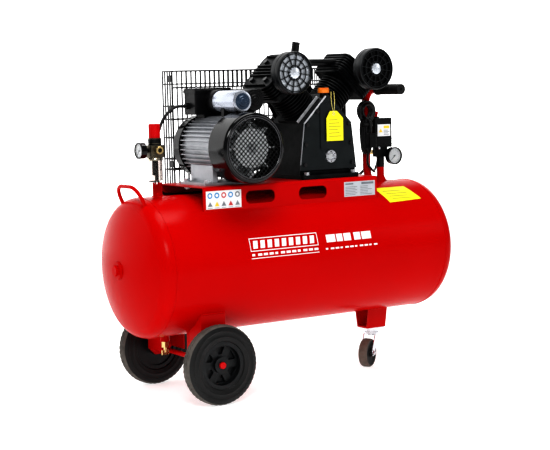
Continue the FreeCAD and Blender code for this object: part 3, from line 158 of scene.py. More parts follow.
def block(low, high):
    (x0, y0, z0), (x1, y1, z1) = low, high
    points = [Vector((x, y, z)) for x in (x0, x1) for y in (y0, y1) for z in (z0, z1)]
    return points, [(0, 1, 3, 2), (4, 6, 7, 5), (0, 4, 5, 1), (2, 3, 7, 6), (0, 2, 6, 4), (1, 5, 7, 3)]


def turned(part, degrees, axis, centre):
    spin = Matrix.Rotation(math.radians(degrees), 4, Vector(axis))
    centre = Vector(centre)
    return [centre + spin @ (p - centre) for p in part[0]], part[1]


def link(made):
    bpy.context.scene.collection.objects.link(made)
    return made


def piece(name, parts, material, body="root", bevel=0.0, smooth=35):
    """One mesh object of several parts, with its material, riding on a body."""
    points, faces = [], []
    for part_points, part_faces in parts:
        base = len(points)
        points += [tuple(p) for p in part_points]
        faces += [tuple(base + i for i in face) for face in part_faces]
    mesh = bpy.data.meshes.new(name)
    mesh.from_pydata(points, [], faces)
    mesh.validate()
    mesh.shade_smooth()
    mesh.set_sharp_from_angle(angle=math.radians(smooth))
    mesh.materials.append(material)
    made = link(bpy.data.objects.new(name, mesh))
    if bevel:
        rounding = made.modifiers.new("edges", "BEVEL")
        rounding.width = bevel
        rounding.segments = 3
        rounding.limit_method = "ANGLE"
    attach(made, body)
    return made


# ---- materials ----


def shader_of(material):
    return material.node_tree.nodes["Principled BSDF"]


def surface(
    name, colour, roughness, metallic=0.0, mottle=0.06, mottle_scale=30.0, grain=0.0, grain_scale=600.0,
    coat=0.0, streak=None, rough_swing=0.06, shine=0.5,
):
    """A painted, cast, moulded or machined surface with its own colour variation, roughness and grain."""
    material = bpy.data.materials.new(name)
    material.use_nodes = True
    nodes, links = material.node_tree.nodes, material.node_tree.links
    shader = shader_of(material)
    shader.inputs["Metallic"].default_value = metallic
    shader.inputs["Coat Weight"].default_value = coat
    shader.inputs["Specular IOR Level"].default_value = shine
    shader.inputs["Coat Roughness"].default_value = 0.06
    place = nodes.new("ShaderNodeTexCoord")
    source = place.outputs["Object"]
    if streak:
        stretch = nodes.new("ShaderNodeMapping")
        stretch.inputs["Scale"].default_value = streak
        links.new(source, stretch.inputs["Vector"])
        source = stretch.outputs["Vector"]

    def noise(scale, detail):
        made = nodes.new("ShaderNodeTexNoise")
        made.inputs["Scale"].default_value = scale
        made.inputs["Detail"].default_value = detail
        links.new(source, made.inputs["Vector"])
        return made.outputs["Fac"]

    broad = noise(mottle_scale, 4.0)
    ramp = nodes.new("ShaderNodeValToRGB")
    low = [max(0.0, c * (1 - mottle)) for c in colour]
    high = [min(1.0, c * (1 + mottle) + 0.01 * mottle) for c in colour]
    ramp.color_ramp.elements[0].position = 0.35
    ramp.color_ramp.elements[1].position = 0.65
    ramp.color_ramp.elements[0].color = (*low, 1)
    ramp.color_ramp.elements[1].color = (*high, 1)
    links.new(broad, ramp.inputs["Fac"])
    links.new(ramp.outputs["Color"], shader.inputs["Base Color"])
    spread = nodes.new("ShaderNodeMapRange")
    spread.inputs["From Min"].default_value = 0.3
    spread.inputs["From Max"].default_value = 0.7
    spread.inputs["To Min"].default_value = max(0.02, roughness - rough_swing)
    spread.inputs["To Max"].default_value = min(1.0, roughness + rough_swing)
    links.new(noise(mottle_scale * 2.3, 3.0), spread.inputs["Value"])
    links.new(spread.outputs["Result"], shader.inputs["Roughness"])
    if grain:
        bump = nodes.new("ShaderNodeBump")
        bump.inputs["Strength"].default_value = grain
        bump.inputs["Distance"].default_value = 0.0005
        links.new(noise(grain_scale, 3.0), bump.inputs["Height"])
        links.new(bump.outputs["Normal"], shader.inputs["Normal"])
    return material


def painted_above(material, height, colour):
    """Mixes a paint over a metal above a height, as on screws that were painted with the pump."""
    nodes, links = material.node_tree.nodes, material.node_tree.links
    shader = shader_of(material)
    place = nodes.new("ShaderNodeTexCoord")
    split = nodes.new("ShaderNodeSeparateXYZ")
    above = nodes.new("ShaderNodeMath")
    above.operation = "GREATER_THAN"
    above.inputs[1].default_value = height
    mix = nodes.new("ShaderNodeMix")
    mix.data_type = "RGBA"
    mix.inputs["B"].default_value = (*colour, 1)
    metal = nodes.new("ShaderNodeMath")
    metal.operation = "SUBTRACT"
    metal.inputs[0].default_value = 1.0
    links.new(place.outputs["Object"], split.inputs["Vector"])
    links.new(split.outputs["Z"], above.inputs[0])
    links.new(above.outputs["Value"], mix.inputs["Factor"])
    links.new(shader.inputs["Base Color"].links[0].from_socket, mix.inputs["A"])
    links.new(mix.outputs["Result"], shader.inputs["Base Color"])
    links.new(above.outputs["Value"], metal.inputs[1])
    links.new(metal.outputs["Value"], shader.inputs["Metallic"])
    return material


def clear(name, colour, roughness=0.04):
    """Clear moulded plastic or glass, faintly clouded."""
    material = surface(name, colour, roughness, mottle=0.02, rough_swing=0.02)
    shader = shader_of(material)
    shader.inputs["Transmission Weight"].default_value = 1.0
    shader.inputs["IOR"].default_value = 1.3
    return material


RED = surface(
    "red_paint", (0.47, 0.0002, 0.0004), 0.24, mottle=0.02, mottle_scale=5, grain=0.03,
    grain_scale=260, rough_swing=0.015, shine=0.05,
)
RED_DECK = surface(
    "red_powder", (0.47, 0.0002, 0.0004), 0.34, mottle=0.03, mottle_scale=9, grain=0.06,
    grain_scale=420, rough_swing=0.02, shine=0.08,
)
RED_PLASTIC = surface("red_plastic", (0.52, 0.001, 0.003), 0.34, mottle=0.04, grain=0.04, shine=0.2)
BLACK_CAST = surface(
    "black_cast", (0.003, 0.0035, 0.004), 0.42, mottle=0.35, mottle_scale=45, grain=0.35,
    grain_scale=520, shine=0.12,
)
BLACK_PANEL = surface(
    "black_panel", (0.006, 0.009, 0.010), 0.42, mottle=0.15, mottle_scale=22, grain=0.16,
    grain_scale=700, shine=0.25,
)
BLACK_GLOSS = surface(
    "black_gloss", (0.001, 0.001, 0.0014), 0.12, mottle=0.2, grain=0.03, grain_scale=120,
    rough_swing=0.03, shine=0.32,
)
BLACK_WIRE = surface("black_wire", (0.003, 0.003, 0.0035), 0.34, mottle=0.2, grain=0.10, shine=0.3)
BLACK_PLASTIC = surface(
    "black_plastic", (0.003, 0.003, 0.0035), 0.36, mottle=0.15, grain=0.12, grain_scale=900, shine=0.22,
)
RUBBER = surface("rubber", (0.005, 0.005, 0.005), 0.60, mottle=0.2, grain=0.3, grain_scale=800, shine=0.3)
CORD_SKIN = surface("cord_skin", (0.003, 0.003, 0.0035), 0.36, mottle=0.15, grain=0.08, shine=0.4)
TYRE = surface(
    "tyre_rubber", (0.006, 0.006, 0.006), 0.50, mottle=0.25, mottle_scale=18, grain=0.25,
    grain_scale=500, shine=0.35,
)
TREAD = surface(
    "tread_dust", (0.090, 0.082, 0.072), 0.80, mottle=0.25, mottle_scale=40, grain=0.4, grain_scale=400,
)
RIM = surface(
    "rim_plastic", (0.006, 0.007, 0.008), 0.46, mottle=0.15, grain=0.2, grain_scale=700, shine=0.35,
)
ALUMINIUM = surface(
    "cast_aluminium", (0.36, 0.37, 0.39), 0.40, metallic=0.6, mottle=0.10, grain=0.15, grain_scale=500,
)
STEEL = surface(
    "machined_steel", (0.52, 0.53, 0.55), 0.28, metallic=1.0, mottle=0.10, streak=(1, 1, 8), grain=0.06,
)
ZINC = surface(
    "zinc_plate", (0.62, 0.63, 0.66), 0.26, metallic=1.0, mottle=0.12, mottle_scale=60, grain=0.05,
)
BRASS = surface("brass", (0.72, 0.53, 0.24), 0.30, metallic=1.0, mottle=0.10, mottle_scale=50, grain=0.06)
DARK_METAL = surface(
    "dark_metal", (0.10, 0.085, 0.06), 0.30, metallic=0.8, mottle=0.25, mottle_scale=60, grain=0.05,
)
NICKEL = surface(
    "nickelled_brass", (0.62, 0.56, 0.44), 0.24, metallic=1.0, mottle=0.10, mottle_scale=60, grain=0.05,
)
CAP_CASE = surface("capacitor_case", (0.50, 0.53, 0.60), 0.20, metallic=0.75, mottle=0.06, mottle_scale=12)
CAP_FACE = surface(
    "capacitor_face", (0.030, 0.050, 0.085), 0.24, metallic=0.3, mottle=0.12, mottle_scale=60,
)
FAN_GREY = surface("fan_plastic", (0.72, 0.74, 0.76), 0.45, mottle=0.08, mottle_scale=50)
ORANGE = surface("orange_plastic", (0.78, 0.20, 0.012), 0.38, mottle=0.05, grain=0.05)
YELLOW = surface("yellow_film", (0.86, 0.80, 0.010), 0.42, mottle=0.03, grain=0.03)
WHITE = surface("white_film", (0.78, 0.79, 0.80), 0.40, mottle=0.03, grain=0.02)
SILVER = surface("silver_film", (0.55, 0.58, 0.62), 0.34, metallic=0.4, mottle=0.06, grain=0.02)
GREY_INK = surface("grey_ink", (0.18, 0.20, 0.22), 0.5, mottle=0.08)
BLUE_INK = surface("blue_ink", (0.03, 0.25, 0.55), 0.45, mottle=0.05)
RED_INK = surface("red_ink", (0.55, 0.03, 0.03), 0.45, mottle=0.05)
OLIVE_INK = surface("olive_ink", (0.30, 0.26, 0.02), 0.45, mottle=0.05)
AMBER_INK = surface("amber_ink", (0.85, 0.62, 0.03), 0.45, mottle=0.05)
DARK = surface("deep_shadow", (0.010, 0.009, 0.009), 0.8, mottle=0.2)
STRING = surface("string", (0.78, 0.66, 0.20), 0.7, mottle=0.15, grain=0.3, grain_scale=2000)
CASTER_TREAD = surface("caster_tread", (0.10, 0.075, 0.060), 0.66, mottle=0.2, mottle_scale=60, grain=0.2)
# Lighter and more metallic than the black cover: a painted highlight on its rolled rings.
FAN_RING_SHEEN = surface("fan_ring_sheen", (0.05, 0.05, 0.055), 0.18, metallic=0.3, mottle=0.2, coat=0.5)
# A pale metal laid in thin strips along edges as a painted highlight.
EDGE_HIGHLIGHT = surface(
    "painted_edge_highlight", (0.62, 0.63, 0.65), 0.34, metallic=0.5, mottle=0.18, mottle_scale=90, grain=0.15,
)
FILTER_BLACK = surface("filter_black", (0.005, 0.006, 0.007), 0.34, mottle=0.15, grain=0.06, shine=0.3)
FILTER_SILVER = surface(
    "filter_silver", (0.70, 0.74, 0.80), 0.24, metallic=0.7, mottle=0.14, mottle_scale=80,
)
GLASS = clear("gauge_glass", (0.98, 0.99, 1.0))
BOWL = clear("bowl_plastic", (0.80, 0.74, 0.71), 0.10)

PAINT_LINE, PAINT_BLACK = 0.595, (0.006, 0.006, 0.007)
BARE_BOLTS = surface("fasteners", (0.62, 0.63, 0.66), 0.28, metallic=1.0, mottle=0.12, mottle_scale=60)
FASTENERS = painted_above(BARE_BOLTS, PAINT_LINE, PAINT_BLACK)

FINISHES = (
    (RED, ("tank_shell", "tank_domes", "tank_sockets", "carry_handle", "push_handle")),
    (RED_DECK, ("deck_plate", "wheel_brackets", "axle_bar")),
    (RED_PLASTIC, ("axle_caps", "switch_button", "regulator_knob")),
    (RIM, ("front_rim", "rear_rim")),
    (ZINC, ("caster_plate", "caster_fork", "sight_glass")),
    (RUBBER, ("handle_grip", "v_belt", "caster_wheel")),
    (ALUMINIUM, ("motor_housing", "pistons")),
    (BLACK_GLOSS, ("motor_end_bell", "fan_cover", "gauges")),
    (STEEL, ("motor_stator", "motor_rotor", "crankshaft", "safety_ring")),
    (FAN_GREY, ("motor_fan",)),
    (BLACK_CAST, (
        "motor_pulley", "crankcase", "cylinders", "valve_plates", "cylinder_heads", "flywheel",
        "switch_manifold",
    )),
    (BLACK_PLASTIC, (
        "terminal_box", "switch_cover", "cable_glands", "mains_plug", "capacitors", "air_filters",
    )),
    (FASTENERS, ("hex_bolts",)),
    (BLACK_PANEL, ("crankcase_cover",)),
    (BLACK_WIRE, ("air_pipes", "guard_front", "guard_rear")),
    (ORANGE, ("oil_cap",)),
    (GREY_INK, ("tank_needle", "outlet_needle")),
    (BRASS, ("brass_valves", "drain_screw")),
    (DARK_METAL, ("regulator_body",)),
    (BOWL, ("regulator_bowl",)),
    (CORD_SKIN, ("motor_lead", "mains_lead", "mains_hank")),
    (YELLOW, ("oil_tag",)),
    (TYRE, ("front_tyre", "rear_tyre")),
)


def finish_frame():
    """Gives each node of the frame its material."""
    for material, nodes in FINISHES:
        for node in nodes:
            slots = NODES[node].material_slots
            for held in slots:
                held.material = material
            if not slots:
                NODES[node].data.materials.append(material)


# ---- camera and studio ----


def place_camera():
    """The camera stands to the left of the operator, level with the pump."""
    yaw, pitch, roll = 0.5821, 0.0991, -0.0233
    place = (TANK_MID.x - 2.2361, -3.3685, 0.8340)
    forward = Vector((math.sin(yaw) * math.cos(pitch), math.cos(yaw) * math.cos(pitch), -math.sin(pitch)))
    level = Vector((math.cos(yaw), -math.sin(yaw), 0))
    upright = level.cross(forward)
    right = level * math.cos(roll) + upright * math.sin(roll)
    up = upright * math.cos(roll) - level * math.sin(roll)
    data = bpy.data.cameras.new("camera")
    data.sensor_width = 36.0
    data.lens = 95.83
    camera = link(bpy.data.objects.new("camera", data))
    turn = Matrix((right, up, -forward)).transposed().to_4x4()
    camera.matrix_world = Matrix.Translation(place) @ turn
    bpy.context.scene.camera = camera


def area_light(name, place, target, size, power):
    data = bpy.data.lights.new(name, "AREA")
    data.shape = "RECTANGLE"
    data.size, data.size_y = size
    data.energy = power
    light = link(bpy.data.objects.new(name, data))
    aim = (Vector(target) - Vector(place)).to_track_quat("-Z", "Y")
    light.matrix_world = Matrix.Translation(place) @ aim.to_matrix().to_4x4()


def glowing(material, strength):
    """Makes a material give off white light."""
    shader = shader_of(material)
    shader.inputs["Emission Color"].default_value = (1.0, 1.0, 1.0, 1)
    shader.inputs["Emission Strength"].default_value = strength


def studio_sheet(name, corners, material):
    """A flat four-cornered sheet that belongs to the studio, not to the object."""
    mesh = bpy.data.meshes.new(name)
    mesh.from_pydata(corners, [], [(0, 1, 2, 3)])
    mesh.materials.append(material)
    link(bpy.data.objects.new(name, mesh))


def surround_light(strength):
    world = bpy.data.worlds.new("surround")
    world.use_nodes = True
    background = world.node_tree.nodes["Background"]
    background.inputs["Color"].default_value = (1.0, 1.0, 1.0, 1)
    background.inputs["Strength"].default_value = strength
    bpy.context.scene.world = world


def studio():
    """A plain pale floor, a white surround and large soft lights."""
    surround_light(0.20)
    tank_top = (0, 0, 0.5)
    area_light("key", (-2.2, -3.4, 2.8), tank_top, (1.3, 1.0), 82)
    area_light("fill", (3.0, -2.6, 1.8), (0.2, 0, 0.5), (1.2, 1.2), 8)
    area_light("top", (0.1, -0.3, 3.4), tank_top, (2.6, 1.2), 62)
    bpy.context.scene.view_settings.view_transform = "Standard"
    bpy.context.scene.view_settings.look = "High Contrast"
    reach = 12.0
    paper = surface("paper", (0.75, 0.75, 0.75), 0.8, mottle=0.01, mottle_scale=2, shine=0.0)
    glowing(paper, 0.42)
    floor_corners = [(x * reach, y * reach, 0) for x, y in ((-1, -1), (1, -1), (1, 1), (-1, 1))]
    studio_sheet("floor", floor_corners, paper)
    far, width, height = 6.0, 14.0, 8.0
    lit_paper = bpy.data.materials.new("lit_paper")
    lit_paper.use_nodes = True
    glowing(lit_paper, 1.0)
    screen_corners = [(x * width, far, z * height) for x, z in ((-1, -0.1), (1, -0.1), (1, 1), (-1, 1))]
    studio_sheet("screen", screen_corners, lit_paper)


# ---- the mains lead ----

TANK_X = TANK_MID.x
MAINS_R, MAINS_LENGTH = 3.5 * MM, 1.9
LEAD_ROUTE = [
    (377, 44, 622), (377, 44, 596), (364, 38, 572), (342, 20, 562), (326, -4, 562),
    (307, -17, 570), (293, -13, 588), (293, -13, 612),
]
HANK_X, HANK_Y, HANK_LOW = 293.0, -13.0, 618.0
RING_Z, RING_R, NECK = 738.0, (19.0, 27.5), (9.0, 12.5)
HANK_TURNS, TURN_POINTS, TURN_PITCH = 5, 28, 4.3
PLUG_ROUTE = [
    (276, -6, 690), (275, -16, 712), (278, -31, 722), (286, -38, 712), (290, -38, 694), (290, -38, 675),
]


def at(x, y, z):
    """A place given in millimetres about the middle of the tank."""
    return Vector((TANK_X + x * MM, y * MM, z * MM))


def hank_point(turn):
    """A point on the hank after so many turns: up the left, round the open ring and down the right."""
    layer = int(min(turn, HANK_TURNS - 0.01)) % 2
    phase = 2 * math.pi * (turn - math.floor(turn))
    ring_r = RING_R[layer]
    top = RING_Z + ring_r
    z = (top + HANK_LOW) / 2 - (top - HANK_LOW) / 2 * math.cos(phase)
    neck_width = NECK[layer] * min(1.0, 1.6 * abs(math.sin(phase))) if z < RING_Z else 0.0
    rise = min(ring_r, abs(z - RING_Z))
    ring_width = math.sqrt(ring_r * ring_r - rise * rise)
    width = max(neck_width, ring_width)
    y = HANK_Y + (turn - HANK_TURNS / 2) * TURN_PITCH
    return (HANK_X - math.copysign(width, math.sin(phase)), y, z)


def mains_cord():
    """The mains lead: from its gland to the hung hank, round its turns and down to the plug."""
    points = list(LEAD_ROUTE[:-1])
    points += [hank_point(k / TURN_POINTS) for k in range(1, HANK_TURNS * TURN_POINTS + 4)]
    points += PLUG_ROUTE
    curve = bpy.data.curves.new("mains_cord", "CURVE")
    curve.dimensions = "3D"
    curve.bevel_depth = MAINS_R
    curve.bevel_resolution = 4
    curve.use_fill_caps = True
    line = curve.splines.new("NURBS")
    line.points.add(len(points) - 1)
    for held, point in zip(line.points, points):
        held.co = (*at(*point), 1)
    line.order_u = 3
    line.use_endpoint_u = True
    line.resolution_u = 6
    curve.materials.append(CORD_SKIN)
    cord = link(bpy.data.objects.new("mains_cord", curve))
    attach(cord, "root")
    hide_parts("mains_lead", "mains_hank")


def hank_tie():
    """A strap round the hank and the push handle's tube, which it holds as two circles."""
    hank, tube_held = (293.0, -13.0, 18.5), (311.0, 13.0, 12.2)
    low, high, sides = 694, 706, 48
    rows = []
    for z in (low, high):
        row = []
        for turn in turns(sides):
            across, deep = math.cos(turn), math.sin(turn)
            x, y, radius = max((hank, tube_held), key=lambda c: c[0] * across + c[1] * deep + c[2])
            row.append(at(x + radius * across, y + radius * deep, z))
        rows.append(row)
    strap = piece("hank_tie", [skin(rows)], RUBBER)
    thick = strap.modifiers.new("thickness", "SOLIDIFY")
    thick.thickness = 1.2 * MM


def strain_relief():
    """The tapered rubber sleeve on the mains lead where it leaves its gland."""
    start_r, taper, grooves, pitch, collar = 5.9, 0.32, 5, 3.8, 5.5
    sleeve = [(4.4, 0), (6.8, 0), (6.8, 2.5), (start_r, 3.5)]
    for k in range(grooves):
        down = collar + pitch * k
        outer = start_r - taper * k
        inner = outer - 0.9
        sleeve += [(outer, down), (inner, down + 0.6), (inner, down + 1.7), (outer - 0.2, down + 2.3)]
    sleeve += [(4.1, 25.5), (3.4, 26)]
    part = lathe_mm(sleeve, at(*LEAD_ROUTE[0]), (0, 0, -1), 24)
    piece("strain_relief", [part], RUBBER)


def riser_sleeve():
    """The black upper part of the riser between the tank and the switch."""
    sleeve = [(8.2, 0), (11.2, 0), (11.4, 1), (11.4, 29), (8.2, 29)]
    part = lathe_mm(sleeve, at(357, 8, 575), (0, 0, 1), 40, closed=True)
    piece("riser_sleeve", [part], BLACK_PLASTIC)


# ---- tank ----


def on_tank(x, z, lift=0.3):
    """A place on the tank's operator side at a height above the floor."""
    rise = z * MM - TANK_MID.z
    radius = TANK_R + lift * MM
    return Vector((TANK_X + x * MM, -math.sqrt(radius * radius - rise * rise), TANK_MID.z + rise))


def tank_patch(corners, lift=0.3, across=8, up=6):
    """A thin film on the tank between four corners, listed low left, low right, high right, high left."""
    low_left, low_right, high_right, high_left = (Vector(c) for c in corners)
    rows = []
    for j in range(up + 1):
        left, right = low_left.lerp(high_left, j / up), low_right.lerp(high_right, j / up)
        rows.append([on_tank(*left.lerp(right, i / across), lift) for i in range(across + 1)])
    return skin(rows, wrap=False)


def upright_patch(x0, x1, z0, z1, lift=0.3):
    return tank_patch([(x0, z0), (x1, z0), (x1, z1), (x0, z1)], lift, 4, 4)


def badge_frame(x0, x1, z0, z1, line):
    """An empty frame with slanted bars in it, and short bars and a rule under it."""
    parts = [
        upright_patch(x0, x1, z0, z0 + line), upright_patch(x0, x1, z1 - line, z1),
        upright_patch(x0, x0 + line, z0, z1), upright_patch(x1 - line, x1, z0, z1),
    ]
    low, high = z0 + 7, z1 - 7
    for k in range(9):
        left = x0 + 9 + k * 22.4
        parts.append(tank_patch([(left, low), (left + 14, low), (left + 17, high), (left + 3, high)]))
    for k in range(12):
        left = x0 + 3 + k * 17.9
        parts.append(upright_patch(left, left + (13 if k % 4 else 9), z0 - 12, z0 - 6))
    parts.append(upright_patch(x0, x1, z0 - 19, z0 - 17))
    return parts


def badge_bars():
    """Plain bars beside the frame: a row of tall ones over a row of short ones."""
    parts = []
    for left, wide in ((28, 30), (62, 20), (86, 24), (120, 22), (146, 32)):
        parts.append(upright_patch(left, left + wide, 395, 415))
    for k in range(11):
        left = 22 + k * 16.2
        parts.append(upright_patch(left, left + (12 if k % 3 else 8), 376, 380.5))
    return parts


def yellow_film():
    """A plain yellow film with a few plain lines on the tank's shoulder."""
    film_corners = [(284, 483), (399, 487), (377, 521), (268, 521)]
    film = piece("tank_film", [tank_patch(film_corners, 0.35, 12, 12)], YELLOW)
    lines = []
    for k, (left, right) in enumerate(((300, 372), (296, 360), (292, 366), (288, 350))):
        z = 492 + k * 6.5
        lines.append(tank_patch([(left, z), (right, z), (right, z + 1.1), (left, z + 1.1)], 0.45))
    film_lines = piece("tank_film_lines", lines, OLIVE_INK)


def tank_marks():
    """Plain white bars and an empty frame where a maker would print, and the yellow film."""
    marks = piece("tank_marks", badge_frame(-215, 0, 390, 424, 2.2) + badge_bars(), WHITE)
    yellow_film()


def weld_bead(points, radius, closed=False):
    """A bead of weld: a wire whose thickness ripples."""
    sides, depth, pace = 8, 0.16, 1.7
    part = tube(points, radius, sides, loop=closed)
    ripple = []
    for i, point in enumerate(part[0]):
        row = i // sides
        centre = Vector(points[row % len(points)])
        ripple.append(centre + (point - centre) * (1.0 + depth * math.sin(row * pace)))
    return ripple, part[1]


def socket_weld(x, y, radius):
    """The bead round a socket on the tank's top, which follows the tank's curve."""
    points = []
    for turn in turns(40):
        px, py = x + radius * math.cos(turn), y + radius * math.sin(turn)
        points.append((TANK_X + px * MM, py * MM, TANK_MID.z + math.sqrt(TANK_R**2 - (py * MM) ** 2)))
    return weld_bead(points, 1.8 * MM, True)


def tank_welds():
    """The beads where the domes, the brackets and the sockets meet the tank."""
    beads = []
    for x in (TANK_LOW.x, TANK_HIGH.x):
        seam = circle((x, 0, TANK_MID.z), (1, 0, 0), TANK_R + 0.1 * MM, 220)
        beads.append(weld_bead(seam, 0.9 * MM, True))
    bracket_y = 0.145
    drop = math.sqrt(TANK_R**2 - bracket_y**2)
    for side in (-1, 1):
        place = side * (bracket_y + 0.5 * MM)
        line = [(TANK_X + x * MM, place, TANK_MID.z - drop - 1 * MM) for x in range(-350, -276, 4)]
        beads.append(weld_bead(line, 2.2 * MM))
    for x, y, radius in ((-381, 8, 14.0), (357, 8, 18.5), (296, 100, 17.0)):
        beads.append(socket_weld(x, y, radius))
    end_socket = circle(at(-509.5, 0, 350.5), (1, 0, 0), 22.5 * MM, 60)
    beads.append(weld_bead(end_socket, 2.0 * MM, True))
    piece("tank_welds", beads, RED, smooth=80)


# ---- labels on the deck and the switch ----


def plate_front(x0, x1, z0, z1, y, thick=0.3):
    """A thin upright plate that faces the operator."""
    return block(at(x0, y - thick, z0), at(x1, y, z1))


def disc_front(x, z, radius, y, sides=24, start=0.0):
    centre = at(x, y, z)
    points = []
    for turn in turns(sides):
        direction = Vector((math.cos(start + turn), 0, math.sin(start + turn)))
        points.append(centre + direction * radius * MM)
    return points, [tuple(range(sides))]


DECK_FACE = -113.6


def shape_film(face):
    """A white film with a row of coloured discs over a row of triangles."""
    made = [piece("shape_film", [plate_front(-306, -198, 502, 549, DECK_FACE)], WHITE)]
    inks = {"blue": BLUE_INK, "red": RED_INK, "amber": AMBER_INK, "grey": GREY_INK}
    parts = {name: [] for name in inks}
    disc_inks = ("blue", "blue", "red", "blue", "grey")
    triangle_inks = ("grey", "amber", "grey", "red", "grey")
    columns = [-294 + k * 21 for k in range(5)]
    for x, disc_ink, triangle_ink in zip(columns, disc_inks, triangle_inks):
        parts[disc_ink].append(disc_front(x, 537, 7.6, face))
        parts[triangle_ink].append(disc_front(x, 513, 8.4, face, 3, math.pi / 2))
        parts["grey"].append(plate_front(x - 7, x + 7, 504.2, 505.2, face))
    for name, ink in inks.items():
        made.append(piece(f"shape_film_{name}", parts[name], ink))
    white_centres = [disc_front(x, 537, 4.2, face - 0.1) for x in columns]
    made.append(piece("shape_film_centres", white_centres, WHITE))
    return made


def data_plate(face):
    """A silver plate with rows of plain lines."""
    plate = piece("data_plate", [plate_front(137, 243, 507, 548, DECK_FACE)], SILVER)
    lines = [plate_front(141, 168, 540, 544, face), plate_front(196, 238, 539, 545, face)]
    for row in range(6):
        z = 511 + row * 4.4
        lines.append(plate_front(141, 141 + (40 if row % 2 else 34), z, z + 1.4, face))
        lines.append(plate_front(192, 192 + (26 if row % 3 else 40), z, z + 1.4, face))
    return [plate, piece("data_plate_lines", lines, GREY_INK)]


def deck_labels():
    face = DECK_FACE - 0.4
    shape_film(face) + data_plate(face)


def small_screw(x, y, z, axis, radius=3.2):
    """A pan-head screw with a cross slot's dimple, standing on a face."""
    r = radius * MM
    profile = [(r, 0), (r, r * 0.35), (r * 0.8, r * 0.62), (r * 0.35, r * 0.7), (r * 0.3, r * 0.45)]
    return lathe(profile, at(x, y, z), axis, 20)


def switch_details():
    """The film, the screw and the ridges of the switch's box."""
    low, high = corner("switch_cover")
    face = low.y / MM
    x0, x1 = (low.x - TANK_X) / MM, (high.x - TANK_X) / MM
    film_face = face - 0.7
    film = piece("switch_film", [plate_front(x0 + 9, x1 - 8, 664, 698, film_face)], WHITE)
    triangle = disc_front(x0 + 20, 679, 7.5, film_face - 0.6, 3, math.pi / 2)
    bar = plate_front(x0 + 31, x1 - 12, 686, 694, film_face - 0.1)
    amber = piece("switch_film_shapes", [triangle, bar], AMBER_INK)
    lines = []
    for k in range(4):
        z = 668 + 4 * k
        lines.append(plate_front(x0 + 31, x1 - 12 - 5 * (k % 2), z, z + 1.6, film_face - 0.1))
    ink = piece("switch_film_lines", lines, GREY_INK)
    lip = []
    for z in (640, 656):
        lip.append(block(at(x0 - 0.6, face - 0.6, z), at(x1 + 0.6, 58.6, z + 1.6)))
    ridge = piece("switch_ridges", lip, BLACK_PLASTIC, bevel=0.4 * MM)
    screw = piece("switch_screw", [small_screw(x0 + 14, face, 630, (0, -1, 0), 3.6)], ZINC)


# ---- wheels ----


def tyre_rows(profile, centre, ribbed=False):
    """Turns (radius, across) pairs about a wheel's axle, with shallow cuts in the outer bands if ribbed."""
    sides, cut_depth, smooth_half = 144, 1.1, 5.5
    rows = []
    for radius, across in profile:
        row = []
        for k, turn in enumerate(turns(sides)):
            cut = cut_depth if ribbed and abs(across) > smooth_half and k % 3 == 0 else 0.0
            reach = (radius - cut) * MM
            row.append(centre + Vector((reach * math.cos(turn), across * MM, reach * math.sin(turn))))
        rows.append(row)
    return skin(rows)


def tyre_piece(node, body):
    """A tyre with a ribbed tread and ridged sidewalls."""
    low, high = corner(node)
    centre = (low + high) / 2
    half = (high.y - low.y) / 2 / MM
    radius = (high.z - low.z) / 2 / MM
    shoulder_r, groove_r, bead_r = radius - 4.5, radius - 2.4, 62
    wall = [
        (bead_r, -half + 6), (64, -half + 2.5), (73, -half + 0.8), (75, -half), (77, -half + 1.2),
        (84, -half + 1.4), (89, -half + 0.6), (90, -half + 2.0), (93, -half + 2.2), (shoulder_r, -half + 6),
    ]
    near_tread = [
        (shoulder_r, -half + 6), (radius - 1.2, -half + 9.5), (radius, -half + 13), (radius, -5.6),
        (groove_r, -5.0), (groove_r, -3.6), (radius, -3.0),
    ]
    tread = near_tread + [(r, -y) for r, y in reversed(near_tread)]
    far_wall = [(r, -y) for r, y in reversed(wall)]
    inner = [(bead_r, half - 6), (bead_r, -half + 6)]
    band = piece(f"{body}_tread", [tyre_rows(tread, centre, ribbed=True)], TREAD, body, smooth=30)
    wall_parts = [tyre_rows(profile, centre) for profile in (wall, far_wall, inner)]
    walls = piece(f"{body}_walls", wall_parts, TYRE, body, smooth=40)
    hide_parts(node)


def wheel_backs():
    """The closed back of each rim, behind its spokes."""
    for side, body in ((-1, "front_wheel"), (1, "rear_wheel")):
        centre = middle(body.replace("wheel", "rim"))
        start = Vector((centre.x, side * 165.5 * MM, centre.z))
        ring = [(21.5, 0), (52.5, 0), (52.5, 2), (21.5, 2)]
        back = lathe_mm(ring, start, (0, side, 0), 72, closed=True)
        piece(f"{body}_back", [back], RIM, body)


CASTER_JOINT = next(joint for joint in frame["joints"] if joint["name"] == "caster_spin")
CASTER_AXLE, CASTER_AXIS = Vector(CASTER_JOINT["pos_m"]), Vector(CASTER_JOINT["axis"])


def caster_wheel_piece():
    """A brown tread on a black core."""
    half = 13.0
    near_core = [
        (5, -half + 1.5), (12, -half - 1.6), (13, -half + 2), (24, -half + 3), (30, -half + 1), (35.5, -half),
        (35.5, -half + 3),
    ]
    near_tread = [(35.4, -half + 0.2), (38.6, -half + 0.6), (40.6, -half + 3.4), (41, -half + 6)]
    core, tread = (near + [(r, -h) for r, h in reversed(near)] for near in (near_core, near_tread))
    core_part = lathe_mm(core, CASTER_AXLE, CASTER_AXIS, 64, closed=True)
    tread_part = lathe_mm(tread, CASTER_AXLE, CASTER_AXIS, 96, closed=True)
    core_piece = piece("caster_core", [core_part], RUBBER, "caster_roller")
    tread_piece = piece("caster_tread", [tread_part], CASTER_TREAD, "caster_roller")
    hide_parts("caster_wheel")


